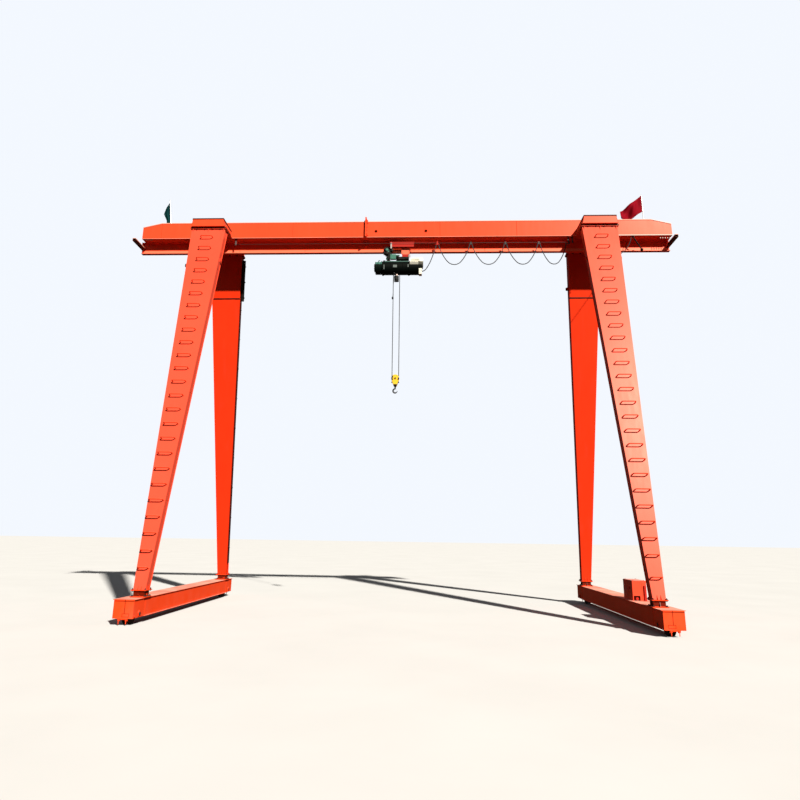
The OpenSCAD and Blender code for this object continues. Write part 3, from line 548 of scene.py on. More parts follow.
    def make(self, name, material, body=None, slot=None, bevel=0.0):
        mesh = bpy.data.meshes.new(name)
        mesh.from_pydata(self.verts, [], self.faces)
        mesh.polygons.foreach_set("use_smooth", self.smooth)
        mesh.materials.append(material)
        mesh.validate()
        o = bpy.data.objects.new(name, mesh)
        bpy.context.scene.collection.objects.link(o)
        if bevel:
            m = o.modifiers.new("edges", "BEVEL")
            m.width = bevel
            m.segments = 2
            m.limit_method = "ANGLE"
        if body:
            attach(o, body)
        return o


def smooth_path(points, per=3):
    """Points on one smooth curve through the given ones."""
    pts = [Vector(p) for p in points]
    out = []
    for i in range(len(pts) - 1):
        a, b = pts[i], pts[i + 1]
        ta = (pts[i + 1] - pts[max(i - 1, 0)]) * (0.5 if i else 1.0)
        tb = (pts[min(i + 2, len(pts) - 1)] - pts[i]) * (0.5 if i + 2 < len(pts) else 1.0)
        for k in range(per):
            t = k / per
            out.append(a * (2 * t**3 - 3 * t**2 + 1) + ta * (t**3 - 2 * t**2 + t)
                       + b * (3 * t**2 - 2 * t**3) + tb * (t**3 - t**2))
    return out + [pts[-1]]


# Cables

CABLE_D = 0.026
SADDLE_R = 0.046
CABLE_TOP = WIRE_Z - 0.066 - 0.0003
LOOP_SAG = 0.675
LOOP_SHARES = [(0, 0), (0, 0.06), (0.045, 0.25), (0.14, 0.54), (0.25, 0.78), (0.36, 0.93), (0.5, 0.985),
               (0.64, 0.93), (0.75, 0.78), (0.86, 0.54), (0.955, 0.25), (1, 0.06), (1, 0)]
CARRIERS = [1.106, 2.145, 3.213, 4.243, 5.118]


def free_cable(name, path, body, node, d=CABLE_D):
    shape = Shape()
    shape.tube(path, d / 2, 12)
    o = shape.make(name, cable_black, body, "cable_black")
    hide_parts(node)
    return o


for i in range(4):
    x0, x1 = CARRIERS[i] + SADDLE_R, CARRIERS[i + 1] - SADDLE_R
    path = smooth_path([(x0 + u * (x1 - x0), -0.25, CABLE_TOP - d * LOOP_SAG) for u, d in LOOP_SHARES], 3)
    loop = free_cable(f"festoon_loop_{i + 1}", path, None, f"cable_loop_{i + 1}")
    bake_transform(loop)

mm = lambda pts: [(x / 1000, y / 1000, z / 1000) for x, y, z in pts]
free_cable("hoist_lead", smooth_path(mm([
    (620.3, -220, 9965), (650, -220, 9965), (720, -221, 10005), (790, -223, 10100),
    (850, -226, 10210), (900, -230, 10320), (945, -235, 10440), (985, -239, 10560),
    (1025, -244, 10665), (1052, -249, 10755), (1060, -250, 10805), (1060, -250, 10833.7)]), 3), "trolley", "hoist_cable")
free_cable("supply_lead", smooth_path(mm([
    (7060, -280, 11069.7), (7060, -280, 11030), (7035, -305, 10930), (6985, -365, 10820),
    (6920, -455, 10710), (6840, -580, 10590), (6760, -720, 10470), (6680, -850, 10360),
    (6590, -975, 10255), (6490, -1090, 10155), (6420, -1160, 10075), (6398, -1180, 10010),
    (6398, -1180, 9975.3)]), 3), "frame", "supply_cable", 0.020)


# Flags

POLES = (-7.547, 7.6)
POLE_LEAN = (math.radians(-7.2), 0.0)
POLE_LENGTH = 1.03


def on_pole(i, x, y, down):
    """A point beside a pole, in the leaning pole's own directions."""
    turn = Matrix.Rotation(POLE_LEAN[i], 3, "Y")
    return Vector((POLES[i], 0, BOX_HIGH)) + turn @ Vector((x, y, POLE_LENGTH - down))


def cloth(name, material, place, flat, body="frame", area=None):
    """A sheet from a grid: place(u, v) gives a point, u along the flat width and v along its length."""
    nu, nv = 40, 28
    verts = [place(i / nu, j / nv) for j in range(nv + 1) for i in range(nu + 1)]
    faces = [(j * (nu + 1) + i, j * (nu + 1) + i + 1, (j + 1) * (nu + 1) + i + 1, (j + 1) * (nu + 1) + i)
             for j in range(nv) for i in range(nu)]
    shape = Shape()
    shape.add(verts, faces, True)
    o = shape.make(name, material, body, "flag_cloth")
    m = o.modifiers.new("cloth_thickness", "SOLIDIFY")
    m.thickness = 0.0025
    m.offset = 0
    total = sum(p.area for p in o.data.polygons)
    print(f"cloth {name}: {total:.3f} m2 of {flat[0] * flat[1]:.3f}")
    return o


def large_flag(u, v):
    """u runs from the pole to the free edge, v from the top down."""
    top = Vector((-0.705 * u, 0.03 + 0.57 * u))
    if u < 0.70:
        low = Vector((-0.48 * u / 0.70, 0.59 + 0.34 * u / 0.70))
    elif u < 0.90:
        low = Vector((-0.48 - 0.16 * (u - 0.70) / 0.20, 0.93))
    else:
        low = Vector((-0.64 - 0.055 * (u - 0.90) / 0.10, 0.93 - 0.10 * (u - 0.90) / 0.10))
    p = top.lerp(low, v)
    sway = min(1.0, u * 2.2)
    y = sway * (0.066 * math.sin(9.5 * u + 2.6 * v) + 0.020 * math.sin(17 * u - 5 * v + 0.6))
    return on_pole(1, -0.016 + p.x + 0.008 * sway * math.sin(5 * v + 3 * u) * min(1.0, 6 * v), y, p.y)


SMALL_EDGE = ((0.14, 0.0), (0.33, -0.09), (0.55, -0.172), (0.66, -0.135), (0.78, -0.098), (0.92, -0.103))


def small_flag(u, v):
    """A slack flag in deep folds beside its pole. v runs down, u from the pole to the outer fold."""
    down = 0.14 + 0.78 * v
    a = max(k for k in range(5) if SMALL_EDGE[k][0] <= down + 1e-9)
    (s0, w0), (s1, w1) = SMALL_EDGE[a], SMALL_EDGE[a + 1]
    wide = w0 + (w1 - w0) * (down - s0) / (s1 - s0)
    fold = (0.075 * math.sin(u * 3.5 * math.pi + 0.9 * v) + 0.012 * math.sin(9 * v)) * min(1.0, 5 * u) * min(1, 4 * v + 0.1)
    pull = 0.02 * v * math.sin(3.1 * math.pi * u)
    return on_pole(0, -0.016 + wide * u + pull * (1 - u), fold, down + 0.02 * math.sin(5 * u) * (1 - v))


red_flag = cloth("red_flag", flag_red, large_flag, (0.54, 0.80))
teal_flag = cloth("teal_flag", flag_teal, small_flag, (0.34, 0.70))
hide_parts("flags")
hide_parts("flags")

poles = Shape()
for i, x in enumerate(POLES):
    up = on_pole(i, 0, 0, 0) - on_pole(i, 0, 0, 1)
    poles.turned([(0, 0.0), (0, 0.016), (0.012, 0.0175), (0.018, 0.015), (0.018, 0.0)], on_pole(i, 0, 0, 0.02), up, 16)
    poles.rod((x, 0, BOX_HIGH), (x, 0, BOX_HIGH + 0.012), 0.055, sides=24)
    for k in range(4):
        a = math.pi / 4 + k * math.pi / 2
        poles.bolt((x + 0.042 * math.cos(a), 0.042 * math.sin(a), BOX_HIGH + 0.012), (0, 0, 1), 0.014)
    for down in (0.05, 0.58) if i else (0.15, 0.90):
        poles.rod(on_pole(i, 0, 0, down), on_pole(i, 0, 0, down + 0.012), 0.017, sides=16)
poles.make("pole_fittings", pole_steel, "frame", "pole_steel")


# Girder and splice

bolts = Shape()      # on the fixed frame
dark_bolts = Shape()
foot_bolts = Shape()
welds = Shape()
plates = Shape()

# plate lips along the box's top and bottom edges, painted pale as a highlight on the lit edges
LIP, LIP_HIGH = 0.012, 0.022
lips = Shape()
SLOPE_X, SLOPE_DROP = 7.7, 0.14
for s in (-1, 1):
    y0, y1 = s * BOX_HALF, s * (BOX_HALF + LIP)
    for xa, xb in ((-SLOPE_X, SPLICE_X - 0.02), (SPLICE_X + 0.02, SLOPE_X)):
        lips.box((xa, y0, BOX_HIGH - LIP_HIGH), (xb, y1, BOX_HIGH))
    for e in (-1, 1):
        lips.prism([(e * SLOPE_X, BOX_HIGH), (e * GIRDER_HALF, BOX_HIGH - SLOPE_DROP),
                    (e * GIRDER_HALF, BOX_HIGH - SLOPE_DROP - LIP_HIGH), (e * SLOPE_X, BOX_HIGH - LIP_HIGH)], "y", y0, y1)
    for xa, xb in ((-GIRDER_HALF, SPLICE_X - 0.02), (SPLICE_X + 0.02, GIRDER_HALF)):
        lips.box((xa, y0, BOX_LOW), (xb, y1, BOX_LOW + 0.010))
        welds.bead((xa, s * (BOX_HALF + 0.002), BOX_LOW + 0.013), (xb, s * (BOX_HALF + 0.002), BOX_LOW + 0.013), 0.004, 0.25)
        welds.bead((xa + 0.02, s * 0.069, BOX_LOW - 0.002), (xb - 0.02, s * 0.069, BOX_LOW - 0.002), 0.005, 0.25)
    for x in (-7.68, -3.46, 1.19, 3.57):
        welds.bead((x, s * BOX_HALF, BOX_LOW + 0.012), (x, s * BOX_HALF, BOX_HIGH - 0.012), 0.008, 0.03)
    # rims of the round holes in the webs
    for x in (-0.82, 0.745):
        plates.rod((x, s * (BOX_HALF - 0.004), 11.2771), (x, s * (BOX_HALF + 0.006), 11.2771), 0.052, sides=32, hole=0.042)
    # beam's seams: the running beam is welded from lengths
    for x in (-5.2, -3.1, 2.6, 6.95):
        welds.bead((x, s * 0.006, FLANGE_TOP + 0.01), (x, s * 0.006, BOX_LOW - 0.02), 0.005, 0.03)
        welds.bead((x, s * 0.01, FLANGE_TOP), (x, s * 0.066, FLANGE_TOP), 0.004, 0.03)

lips.make("girder_lips", pale_highlight, "frame", "crane_orange", 0.001)

# bolts around the splice's flange plates, heads to the left and nuts to the right; the heads are dark brown as painted
# shade in the plate's shadow
ring = [(s * 0.385, z) for s in (-1, 1) for z in (11.10, 11.17, 11.28, 11.40, 11.51, 11.585)]
ring += [(y, 11.672) for y in (-0.30, -0.20, -0.10, 0.10, 0.20, 0.30)]
ring += [(s * 0.055, z) for s in (-1, 1) for z in (10.94, 11.02)]
for y, z in ring:
    dark_bolts.bolt((SPLICE_X - 0.02, y, z), (-1, 0, 0), 0.028)
    bolts.bolt((SPLICE_X + 0.02, y, z), (1, 0, 0), 0.032, 0.034)
# the line where the two flange plates meet
for s in (-1, 1):
    welds.box((SPLICE_X - 0.0015, s * 0.4285, BOX_LOW + 0.01), (SPLICE_X + 0.0015, s * 0.4305, 11.72))

# a row of pale lugs under the right end's front edge, and a pale strip under the left end's
lugs = Shape()
for k in range(5):
    x = 7.94 + 0.072 * k
    dark_bolts.rod((x, -0.309, BOX_LOW), (x, -0.309, BOX_LOW - 0.066), 0.004, sides=8)
    lugs.box((x - 0.010, -0.318, BOX_LOW - 0.082), (x + 0.010, -0.300, BOX_LOW - 0.060))
    lugs.turned([(0, 0.0), (0, 0.010), (0.006, 0.012), (0.014, 0.010), (0.016, 0.0)], (x, -0.309, BOX_LOW - 0.080), (0, 0, -1), 12)
lugs.box((-8.29, -0.285, BOX_LOW - 0.020), (-7.98, -0.275, BOX_LOW))
for k in range(3):
    lugs.bolt((-8.24 + 0.065 * k, -0.26, BOX_LOW), (0, 0, -1), 0.018)
lugs.make("end_lugs", lug_pale, "frame", "crane_orange", 0.001)

# the right end's pale edges, painted highlight: along the sloping top and along the bottom
bright = Shape()
y0, y1 = -BOX_HALF - LIP - 0.001, -BOX_HALF - LIP
end_high = BOX_HIGH - SLOPE_DROP
bright.prism([(SLOPE_X, BOX_HIGH - 0.002), (GIRDER_HALF - 0.001, end_high - 0.002), (GIRDER_HALF - 0.001, end_high - 0.030),
              (SLOPE_X, BOX_HIGH - 0.016)], "y", y0, y1)
bright.box((6.60, -BOX_HALF - 0.004, BOX_LOW + 0.002), (GIRDER_HALF - 0.001, -BOX_HALF, BOX_LOW + 0.028))
bright.box((6.60, y0, BOX_LOW + 0.0005), (GIRDER_HALF - 0.001, -BOX_HALF, BOX_LOW + 0.0095))
bright.make("painted_highlight_edges", lug_pale, "frame", "crane_orange")
# a gusset inside the right end, between the beam's web and the box
plates.prism([(-0.006, BOX_LOW), (-0.27, BOX_LOW), (-0.03, FLANGE_TOP + 0.13), (-0.006, FLANGE_TOP + 0.13)], "x", 8.22, 8.23)
plates.prism([(-0.006, BOX_LOW), (-0.10, BOX_LOW), (-0.05, FLANGE_TOP + 0.02), (-0.006, FLANGE_TOP + 0.002)], "x", -8.39, -8.38)

# a rigid lamp arm that hangs askew below the box at the right, with a round knob at its tip
lamp_arm = Shape()
A, B = Vector((7.10, -0.30, BOX_LOW)), Vector((7.385, -0.205, 10.66))
lamp_arm.rod(A, B, 0.020, 0.016, sides=16)
lamp_arm.turned([(-0.045, 0.0), (-0.042, 0.022), (-0.025, 0.040), (0, 0.046), (0.025, 0.040), (0.042, 0.022), (0.045, 0.0)],
                B, B - A, 20)
lamp_arm.box((A.x - 0.045, A.y - 0.028, BOX_LOW - 0.012), (A.x + 0.045, A.y + 0.045, BOX_LOW))
for dx in (-0.03, 0.03):
    lamp_arm.bolt((A.x + dx, A.y + 0.03, BOX_LOW - 0.012), (0, 0, -1), 0.014)
lamp_arm.make("lamp_arm", black_paint, "frame", "crane_orange", 0.001)

# the end stops' web plates, and pale strips on the stops that are painted highlight
STOP_LOW, STOP_HIGH = FLANGE_TOP + 0.110, FLANGE_TOP + 0.200
stop_highlight_strips = Shape()
for e in (-1, 1):
    x = -8.355 if e < 0 else 8.255
    plates.box((x - 0.005, -0.005, FLANGE_TOP), (x + 0.005, -0.066, STOP_LOW))
    for y in (0.25, 0.5, 0.7):
        bolts.bolt((x, -y, STOP_HIGH), (0, 0, 1), 0.024)
    stop_highlight_strips.box((x - e * 0.045, -0.744, STOP_HIGH - 0.022), (x - e * 0.049, -0.02, STOP_HIGH))
    stop_highlight_strips.box((x - 0.045, -0.747, STOP_HIGH - 0.014), (x + 0.045, -0.744, STOP_HIGH))
stop_highlight_strips.make("painted_stop_highlights", pale_highlight, "frame", "crane_orange")


# Brackets, legs and rungs

def leg_point(side, end, down, u, depth):
    """A point on a leg: down is the share from its top, u the distance from its middle, depth from its outer face."""
    y = LEG_TOP_Y + (LEG_FOOT_Y - LEG_TOP_Y) * down - depth
    return Vector((side * LEG_X + u, end * y, LEG_TOP_Z + (LEG_FOOT_Z - LEG_TOP_Z) * down))


def leg_width(down):
    return LEG_TOP_W + (LEG_FOOT_W - LEG_TOP_W) * down


SLOPE_LENGTH = (LEG_TOP_Z - LEG_FOOT_Z) / math.cos(LEAN)
seams = Shape()
edges = Shape()
for side in (-1, 1):
    for end in (-1, 1):
        cx = side * LEG_X
        # nuts below the head plate, dark brown as painted shade under the bracket
        for u in (-0.36, -0.12, 0.12, 0.36):
            edges.bolt((cx + u, end * 1.085, LEG_TOP_Z), (0, 0, -1), 0.034, 0.032)
            edges.bolt((cx + u, end * 0.792, LEG_TOP_Z), (0, 0, -1), 0.034, 0.032)
        for u in (-0.527, 0.527):
            for y in (0.87, 1.02):
                edges.bolt((cx + u, end * y, LEG_TOP_Z), (0, 0, -1), 0.030, 0.030)
        # dark brown strips of painted shade along the edges of the bracket's roof and of the two head plates, under
        # their overhangs
        near, low_near = end * 1.187, end * 1.1105
        edges.box((cx - 0.4805, near, BOX_LOW + 0.228), (cx + 0.4805, near + end * 0.002, BOX_LOW + 0.2535))
        for u in (-1, 1):
            edges.box((cx + u * 0.4802, end * 0.345, BOX_LOW + 0.198), (cx + u * 0.4822, near, BOX_LOW + 0.2535))
            edges.box((cx + u * 0.5482, end * 0.6, BOX_LOW - 0.052), (cx + u * 0.5502, low_near, BOX_LOW - 0.004))
        edges.box((cx - 0.548, low_near, BOX_LOW - 0.052), (cx + 0.548, low_near + end * 0.002, BOX_LOW - 0.004))
        # bracket: welds round its plates and along its sloping sides, and stiffeners on each sloping side
        for z, half in ((BOX_LOW + 0.245, 0.465), (BOX_LOW + 0.004, 0.515)):
            welds.bead((cx - half, end * 1.175, z - 0.004), (cx + half, end * 1.175, z - 0.004), 0.005, 0.05)
        for u in (-1, 1):
            welds.bead((cx + u * 0.515, end * 1.173, BOX_LOW), (cx + u * 0.465, end * 1.173, BOX_LOW + 0.245), 0.005, 0.05)
            for y in (0.62, 0.90):
                plates.prism([(cx + u * 0.508, BOX_LOW + 0.004), (cx + u * 0.545, BOX_LOW + 0.004),
                              (cx + u * 0.492, BOX_LOW + 0.15), (cx + u * 0.480, BOX_LOW + 0.15)],
                             "y", end * y, end * (y + 0.01))
        # one cover joint across the leg's inner face, in the open where it lies below the girder's shadow
        for down in (0.137,):
            half = leg_width(down) / 2 + 0.010
            for drop in (0.0, 0.0022):
                a = leg_point(side, end, down + drop, -half, LEG_DEPTH + 0.001)
                b = leg_point(side, end, down + drop, half, LEG_DEPTH + 0.001)
                seams.bead(a, b, 0.011, 0.1)
        # faint welds across its edges, and seams along them
        for down in (0.137, 0.52, 0.80):
            for u in (-1, 1):
                h = u * leg_width(down) / 2
                welds.bead(leg_point(side, end, down, h, 0.008), leg_point(side, end, down, h, LEG_DEPTH - 0.008), 0.005, 0.05)
        for u in (-1, 1):
            for d in (0.012, LEG_DEPTH - 0.012):
                welds.bead(leg_point(side, end, 0.002, u * LEG_TOP_W / 2, d),
                           leg_point(side, end, 0.998, u * LEG_FOOT_W / 2, d), 0.005, 0.4)
        # two bolts on each cable lug
        down = 1.08 / (LEG_TOP_Z - LEG_FOOT_Z)
        for u in (-1, 1):
            p = leg_point(side, end, down, u * (leg_width(down) / 2 + 0.04), LEG_DEPTH / 2)
            bolts.bolt(p + Vector((0, -0.012, 0.02)), (0, -1, 0), 0.022, 0.02)
            bolts.bolt(p + Vector((0, -0.012, -0.02)), (0, -1, 0), 0.022, 0.02)

# a cable conduit clipped to the inner side of the left rear leg, down to its first seam
conduit = Shape()
rail = []
for k in range(41):
    down = 0.03 + 0.935 * k / 40
    rail.append(leg_point(-1, 1, down, leg_width(down) / 2 + 0.020, LEG_DEPTH * 0.55))
conduit.tube(rail, 0.030, 14)
for k in range(2, 40, 4):
    p = rail[k]
    conduit.box(p - Vector((0.032, 0.036, 0.010)), p + Vector((0.032, 0.036, 0.010)))
for side, downs in ((-1, (0.052, 0.104)), (1, (0.104,))):
    for down in downs:
        p = leg_point(side, 1, down, -side * (leg_width(down) / 2 + 0.045), LEG_DEPTH * 0.2)
        conduit.turned([(-0.05, 0.0), (-0.048, 0.03), (-0.03, 0.042), (0.03, 0.042), (0.048, 0.03), (0.05, 0.0)], p, (0, 0, 1), 18)
conduit.make("leg_conduit", pipe_brown, "frame", "cable_black")
duct = Shape()
duct.tube([leg_point(-1, 1, d, leg_width(d) / 2 + 0.062, LEG_DEPTH * 0.5) for d in (0.012, 0.05, 0.09, 0.142)], 0.056, 14)
for d in (0.03, 0.08, 0.13):
    p = leg_point(-1, 1, d, leg_width(d) / 2 + 0.062, LEG_DEPTH * 0.5)
    duct.box(p - Vector((0.061, 0.061, 0.014)), p + Vector((0.061, 0.061, 0.014)))
down = 0.124
p = leg_point(-1, -1, down, -(leg_width(down) / 2 + 0.040), LEG_DEPTH * 0.4)
duct.turned([(-0.05, 0.0), (-0.048, 0.03), (-0.03, 0.042), (0.03, 0.042), (0.048, 0.03), (0.05, 0.0)], p, (0, 0, 1), 18)
duct.make("leg_duct", black_paint, "frame", "cable_black", 0.002)

rungs = Shape()
for side in (-1, 1):
    for end in (-1, 1):
        count, pitch, first = (25, 0.405, 0.325) if side < 0 else (26, 0.383, 0.375)
        for i in range(count):
            along = first + i * pitch + (0.110 if side > 0 and i == count - 1 else 0)
            down = along / SLOPE_LENGTH
            half = min(0.38, leg_width(down) - 0.04) / 2 - 0.014
            wob = rng.uniform(-0.004, 0.004)
            reach = 0.11
            turn = 0.045
            pts = [(-half, 0), (-half, reach - turn)]
            pts += [(-half + turn * (1 - math.cos(a)), reach - turn + turn * math.sin(a))
                    for a in (0.39, 0.79, 1.18)] + [(-half + turn, reach), (-half * 0.4, reach), (half * 0.4, reach), (half - turn, reach)]
            pts += [(half - turn * (1 - math.sin(a)), reach - turn + turn * math.cos(a)) for a in (0.39, 0.79, 1.18)]
            pts += [(half, reach - turn), (half, 0)]
            out = Vector((0, end * math.cos(LEAN), math.sin(LEAN)))
            base = leg_point(side, end, down, 0, 0)
            rungs.tube([base + Vector((u, 0, wob)) + out * (d + (0.001 if d == 0 else 0)) for u, d in pts], 0.014, 8)
            for u in (-half, half):
                rungs.rod(base + Vector((u, 0, wob)), base + Vector((u, 0, wob)) + out * 0.008, 0.022, 0.015, 10)
r = rungs.make("leg_rungs", rung_paint, "frame", "crane_orange")
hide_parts("rungs_left", "rungs_right")


# Feet and carriages

for side in (-1, 1):
    for end in (-1, 1):
        cx, cy = side * LEG_X, end * (LEG_FOOT_Y - LEG_DEPTH / 2)
        for dx in (-0.148, 0.148):
            for dy in (-0.150, -0.05, 0.05, 0.150):
                foot_bolts.bolt((cx + dx, cy + dy, LEG_FOOT_Z - 0.02), (0, 0, -1), 0.030)
                foot_bolts.bolt((cx + dx, cy + dy, CARRIAGE_TOP + 0.02), (0, 0, 1), 0.034, 0.034)
                if abs(dy) > 0.1:
                    foot_bolts.bolt((cx + dx, cy + dy, LEG_FOOT_Z), (0, 0, 1), 0.034, 0.034)
        # gussets that stand on the foot's plate against the leg
        for u in (-1, 1):
            plates.prism([(cx + u * 0.145, LEG_FOOT_Z), (cx + u * 0.177, LEG_FOOT_Z), (cx + u * 0.149, LEG_FOOT_Z + 0.11)],
                         "y", cy - 0.005, cy + 0.005)
        for s in (-1, 1):
            y = cy + s * LEG_DEPTH / 2
            for x in (-0.045, 0.035):
                plates.prism([(y, LEG_FOOT_Z), (y + s * 0.045, LEG_FOOT_Z), (y - end * 0.026, LEG_FOOT_Z + 0.11)],
                             "x", cx + x, cx + x + 0.010)
        # carriage: housings round the axle ends, with bolts, and seams
        for s in (-1, 1):
            x = side * CARRIAGE_X + s * CARRIAGE_HALF
            y = end * WHEEL_Y
            plates.rod((x, y, WHEEL_Z + 0.0), (x + s * 0.014, y, WHEEL_Z), 0.072, sides=36, hole=0.043)
            for k in range(6):
                a = math.pi / 6 + k * math.pi / 3
                bolts.bolt((x + s * 0.014, y + 0.058 * math.cos(a), WHEEL_Z + 0.058 * math.sin(a)), (s, 0, 0), 0.014)
            for yy in (3.20,):
                welds.bead((x, end * yy, CARRIAGE_LOW + 0.012), (x, end * yy, CARRIAGE_TOP - 0.012), 0.006, 0.03)
            welds.bead((x + s * 0.002, end * 2.9, CARRIAGE_TOP - 0.013), (x + s * 0.002, 0, CARRIAGE_TOP - 0.013), 0.004, 0.3)
        # slot bracket on the end of the carriage's side, and bolts that hold the rail sweeper
        for s in (-1, 1):
            x = side * CARRIAGE_X + s * (CARRIAGE_HALF - 0.0)
            plates.box((x, end * 3.79, 0.165), (x + s * 0.008, end * 3.70, 0.205))
            bolts.bolt((x + s * 0.008, end * 3.745, 0.185), (s, 0, 0), 0.020)
        for s in (-1, 1):
            plates.box((side * CARRIAGE_X + s * 0.085 - 0.03, end * 3.805, 0.150), (side * CARRIAGE_X + s * 0.085 + 0.03, end * 3.79, 0.10))
        plates.box((side * CARRIAGE_X - 0.115, end * 3.818, 0.128), (side * CARRIAGE_X + 0.115, end * 3.806, 0.150))

bolts.make("frame_bolts", bolt_paint, "frame", "crane_orange")
dark_bolts.make("splice_bolts", rust_and_shade_brown, "frame", "crane_orange")
foot_bolts.make("foot_bolts", bolt_dark, "frame", "wheel_steel")
welds.make("frame_welds", weld_paint, "frame", "crane_orange")
seams.make("leg_joints", pipe_brown, "frame", "crane_orange")
edges.make("plate_edges", rust_and_shade_brown, "frame", "crane_orange")
plates.make("frame_plates", crane_orange, "frame", "crane_orange", 0.0015)

# rail wheels: hub rings and spokes' webs, worn bright treads
tread = metal("tread_bright", (0.26, 0.24, 0.22), 0.28, (0.5, 0.48, 0.46), 0.1, 0.9)
for sx, a in ((-1, "left"), (1, "right")):
    for sy, b in ((-1, "front"), (1, "rear")):
        hub = Shape()
        for s in (-1, 1):
            x = sx * CARRIAGE_X
            hub.turned([(0.071, 0.085), (0.084, 0.08), (0.084, 0.045), (0.071, 0.041)], (x, sy * WHEEL_Y, WHEEL_Z), (s, 0, 0), 36)
            hub.rod((x + s * 0.2505, sy * WHEEL_Y, WHEEL_Z), (x + s * 0.254, sy * WHEEL_Y, WHEEL_Z), 0.030, sides=24)
            for k in range(3):
                t = 2 * math.pi * k / 3
                hub.bolt((x + s * 0.25, sy * WHEEL_Y + 0.02 * math.cos(t), WHEEL_Z + 0.02 * math.sin(t)), (s, 0, 0), 0.012)
        hub.make(f"wheel_hub_{a}_{b}", wheel_steel, f"wheel_{a}_{b}", "wheel_steel")


# Drive cover

cover = Shape()
x0, x1, y0, y1, z0, z1 = 5.83, 6.17, -1.70, -0.98, 0.555, 1.03
for s, x in ((-1, x0), (1, x1)):
    for k in range(6):
        z = z0 + 0.12 + 0.035 * k
        cover.box((x, y0 + 0.40, z), (x + s * 0.012, y1 - 0.07, z + 0.010), Matrix.Rotation(-s * 0.6, 3, "Y"))
    cover.box((x, y0 + 0.02, z0 + 0.02), (x + s * 0.004, y0 + 0.33, z1 - 0.03))
    cover.box((x, y0 + 0.36, z0 + 0.08), (x + s * 0.004, y1 - 0.03, z0 + 0.36))
    cover.box((x, y0, z0), (x + s * 0.030, y1, z0 + 0.006))
cover.box((x0 - 0.006, y0 - 0.006, z1 - 0.025), (x1 + 0.006, y1 + 0.006, z1 - 0.015))
cover.box((x0 + 0.23, y0 - 0.004, z0 + 0.02), (x1 - 0.015, y0, z1 - 0.05))
cover.make("drive_cover_panels", cover_red, "frame", "cover_red", 0.001)
dark = Shape()
dark.box((x1 - 0.065, y0 - 0.045, z0), (x1 - 0.020, y0 - 0.006, z0 + 0.36))
dark.rod((x0 + 0.10, y0 + 0.05, z0 + 0.05), (x0 + 0.10, y0 - 0.02, z0 + 0.05), 0.035, sides=24)
for y in (y0 + 0.18, y0 + 0.24):
    dark.box((x0 - 0.012, y, z0 + 0.26), (x0, y + 0.012, z0 + 0.32))
for x in (x0 + 0.04, x1 - 0.04):
    for y in (y0 + 0.05, y1 - 0.05):
        dark.bolt((x, y, z1), (0, 0, 1), 0.018)
dark.make("drive_cover_fittings", arm_red, "frame", "cover_red", 0.001)


# Trolley and hoist

hb = Shape()       # bolts that ride on the trolley
for x in AXLES:
    for s in (-1, 1):
        y = s * 0.090
        for dx, dz in ((-0.075, 0.10), (0.075, 0.10), (-0.06, -0.055), (0.06, -0.055), (-0.08, 0.0), (0.08, 0.0)):
            z = BEAM_LOW + dz
            hb.bolt((x + dx, y, z), (0, s, 0), 0.026, 0.026)
        hb.rod((x, y + s * 0.0, 10.7663), (x, y + s * 0.010, 10.7663), 0.034, sides=24, hole=0.0155)
hb.make("trolley_bolts", bolt_paint, "trolley", "trolley_red")

# the travel motor on the left axle pair, with its gearbox and brake, in front of the side plate
drive = Shape()
drive.box((-0.367, -0.19, 10.40), (-0.189, -0.10, 10.557))
drive.box((-0.189, -0.185, 10.515), (-0.079, -0.12, 10.540))
drive.turned([(0, 0.0), (0, 0.042), (0.010, 0.046), (0.05, 0.046), (0.062, 0.036), (0.062, 0)], (-0.473, -0.185, 10.693), (0, -1, 0), 28)
drive.turned([(0, 0.0), (0, 0.026), (0.030, 0.026), (0.040, 0.018), (0.040, 0)], (-0.430, -0.185, 10.640), (0, -1, 0), 20)
drive.box((-0.50, -0.15, 10.405), (-0.415, -0.10, 10.440))
for k in range(6):
    drive.box((-0.355 + 0.027 * k, -0.197, 10.412), (-0.349 + 0.027 * k, -0.19, 10.545))
drive.make("travel_drive", drive_green, "trolley", "gear_green", 0.002)
fan = Shape()
fan.turned([(0, 0.0), (0, 0.095), (0.012, 0.102), (0.07, 0.102), (0.085, 0.09), (0.085, 0)], (-0.43, -0.092, 10.655), (0, -1, 0), 36)
fan.box((-0.52, -0.175, 10.52), (-0.34, -0.100, 10.68))
fan.box((-0.538, -0.112, 10.55), (-0.322, -0.1065, 10.845))
fan.turned([(0, 0.0), (0, 0.062), (0.05, 0.062), (0.07, 0.05), (0.07, 0)], (-0.475, -0.1755, 10.585), (0, -1, 0), 28)
fan.turned([(0, 0.0), (0, 0.045), (0.10, 0.045), (0.10, 0)], (-0.53, -0.12, 10.715), (0, -1, 0), 24)
fan.turned([(0, 0.0), (0, 0.040), (0.10, 0.040), (0.10, 0)], (-0.315, -0.12, 10.690), (0, -1, 0), 24)
fan.box((-0.580, -0.19, 10.56), (-0.52, -0.11, 10.74))
fan.prism([(-0.50, 10.43), (-0.38, 10.41), (-0.345, 10.44), (-0.345, 10.54), (-0.47, 10.54)], "y", -0.165, -0.105)
for k in range(5):
    fan.turned([(0, 0.048), (0.0, 0.064), (0.006, 0.064), (0.006, 0.048)], (-0.187 + 0.017 * k, -0.125, 10.475), (1, 0, 0), 28)
fan.turned([(0, 0.0), (0, 0.052), (0.09, 0.052), (0.09, 0.0)], (-0.189, -0.125, 10.475), (1, 0, 0), 28)
fan.box((-0.183, -0.150, 10.405), (0.216, -0.02, 10.490))
fan.box((0.10, -0.162, 10.42), (0.20, -0.150, 10.48))
fan.make("travel_drive_cover", black_paint, "trolley", "drum_dark", 0.002)

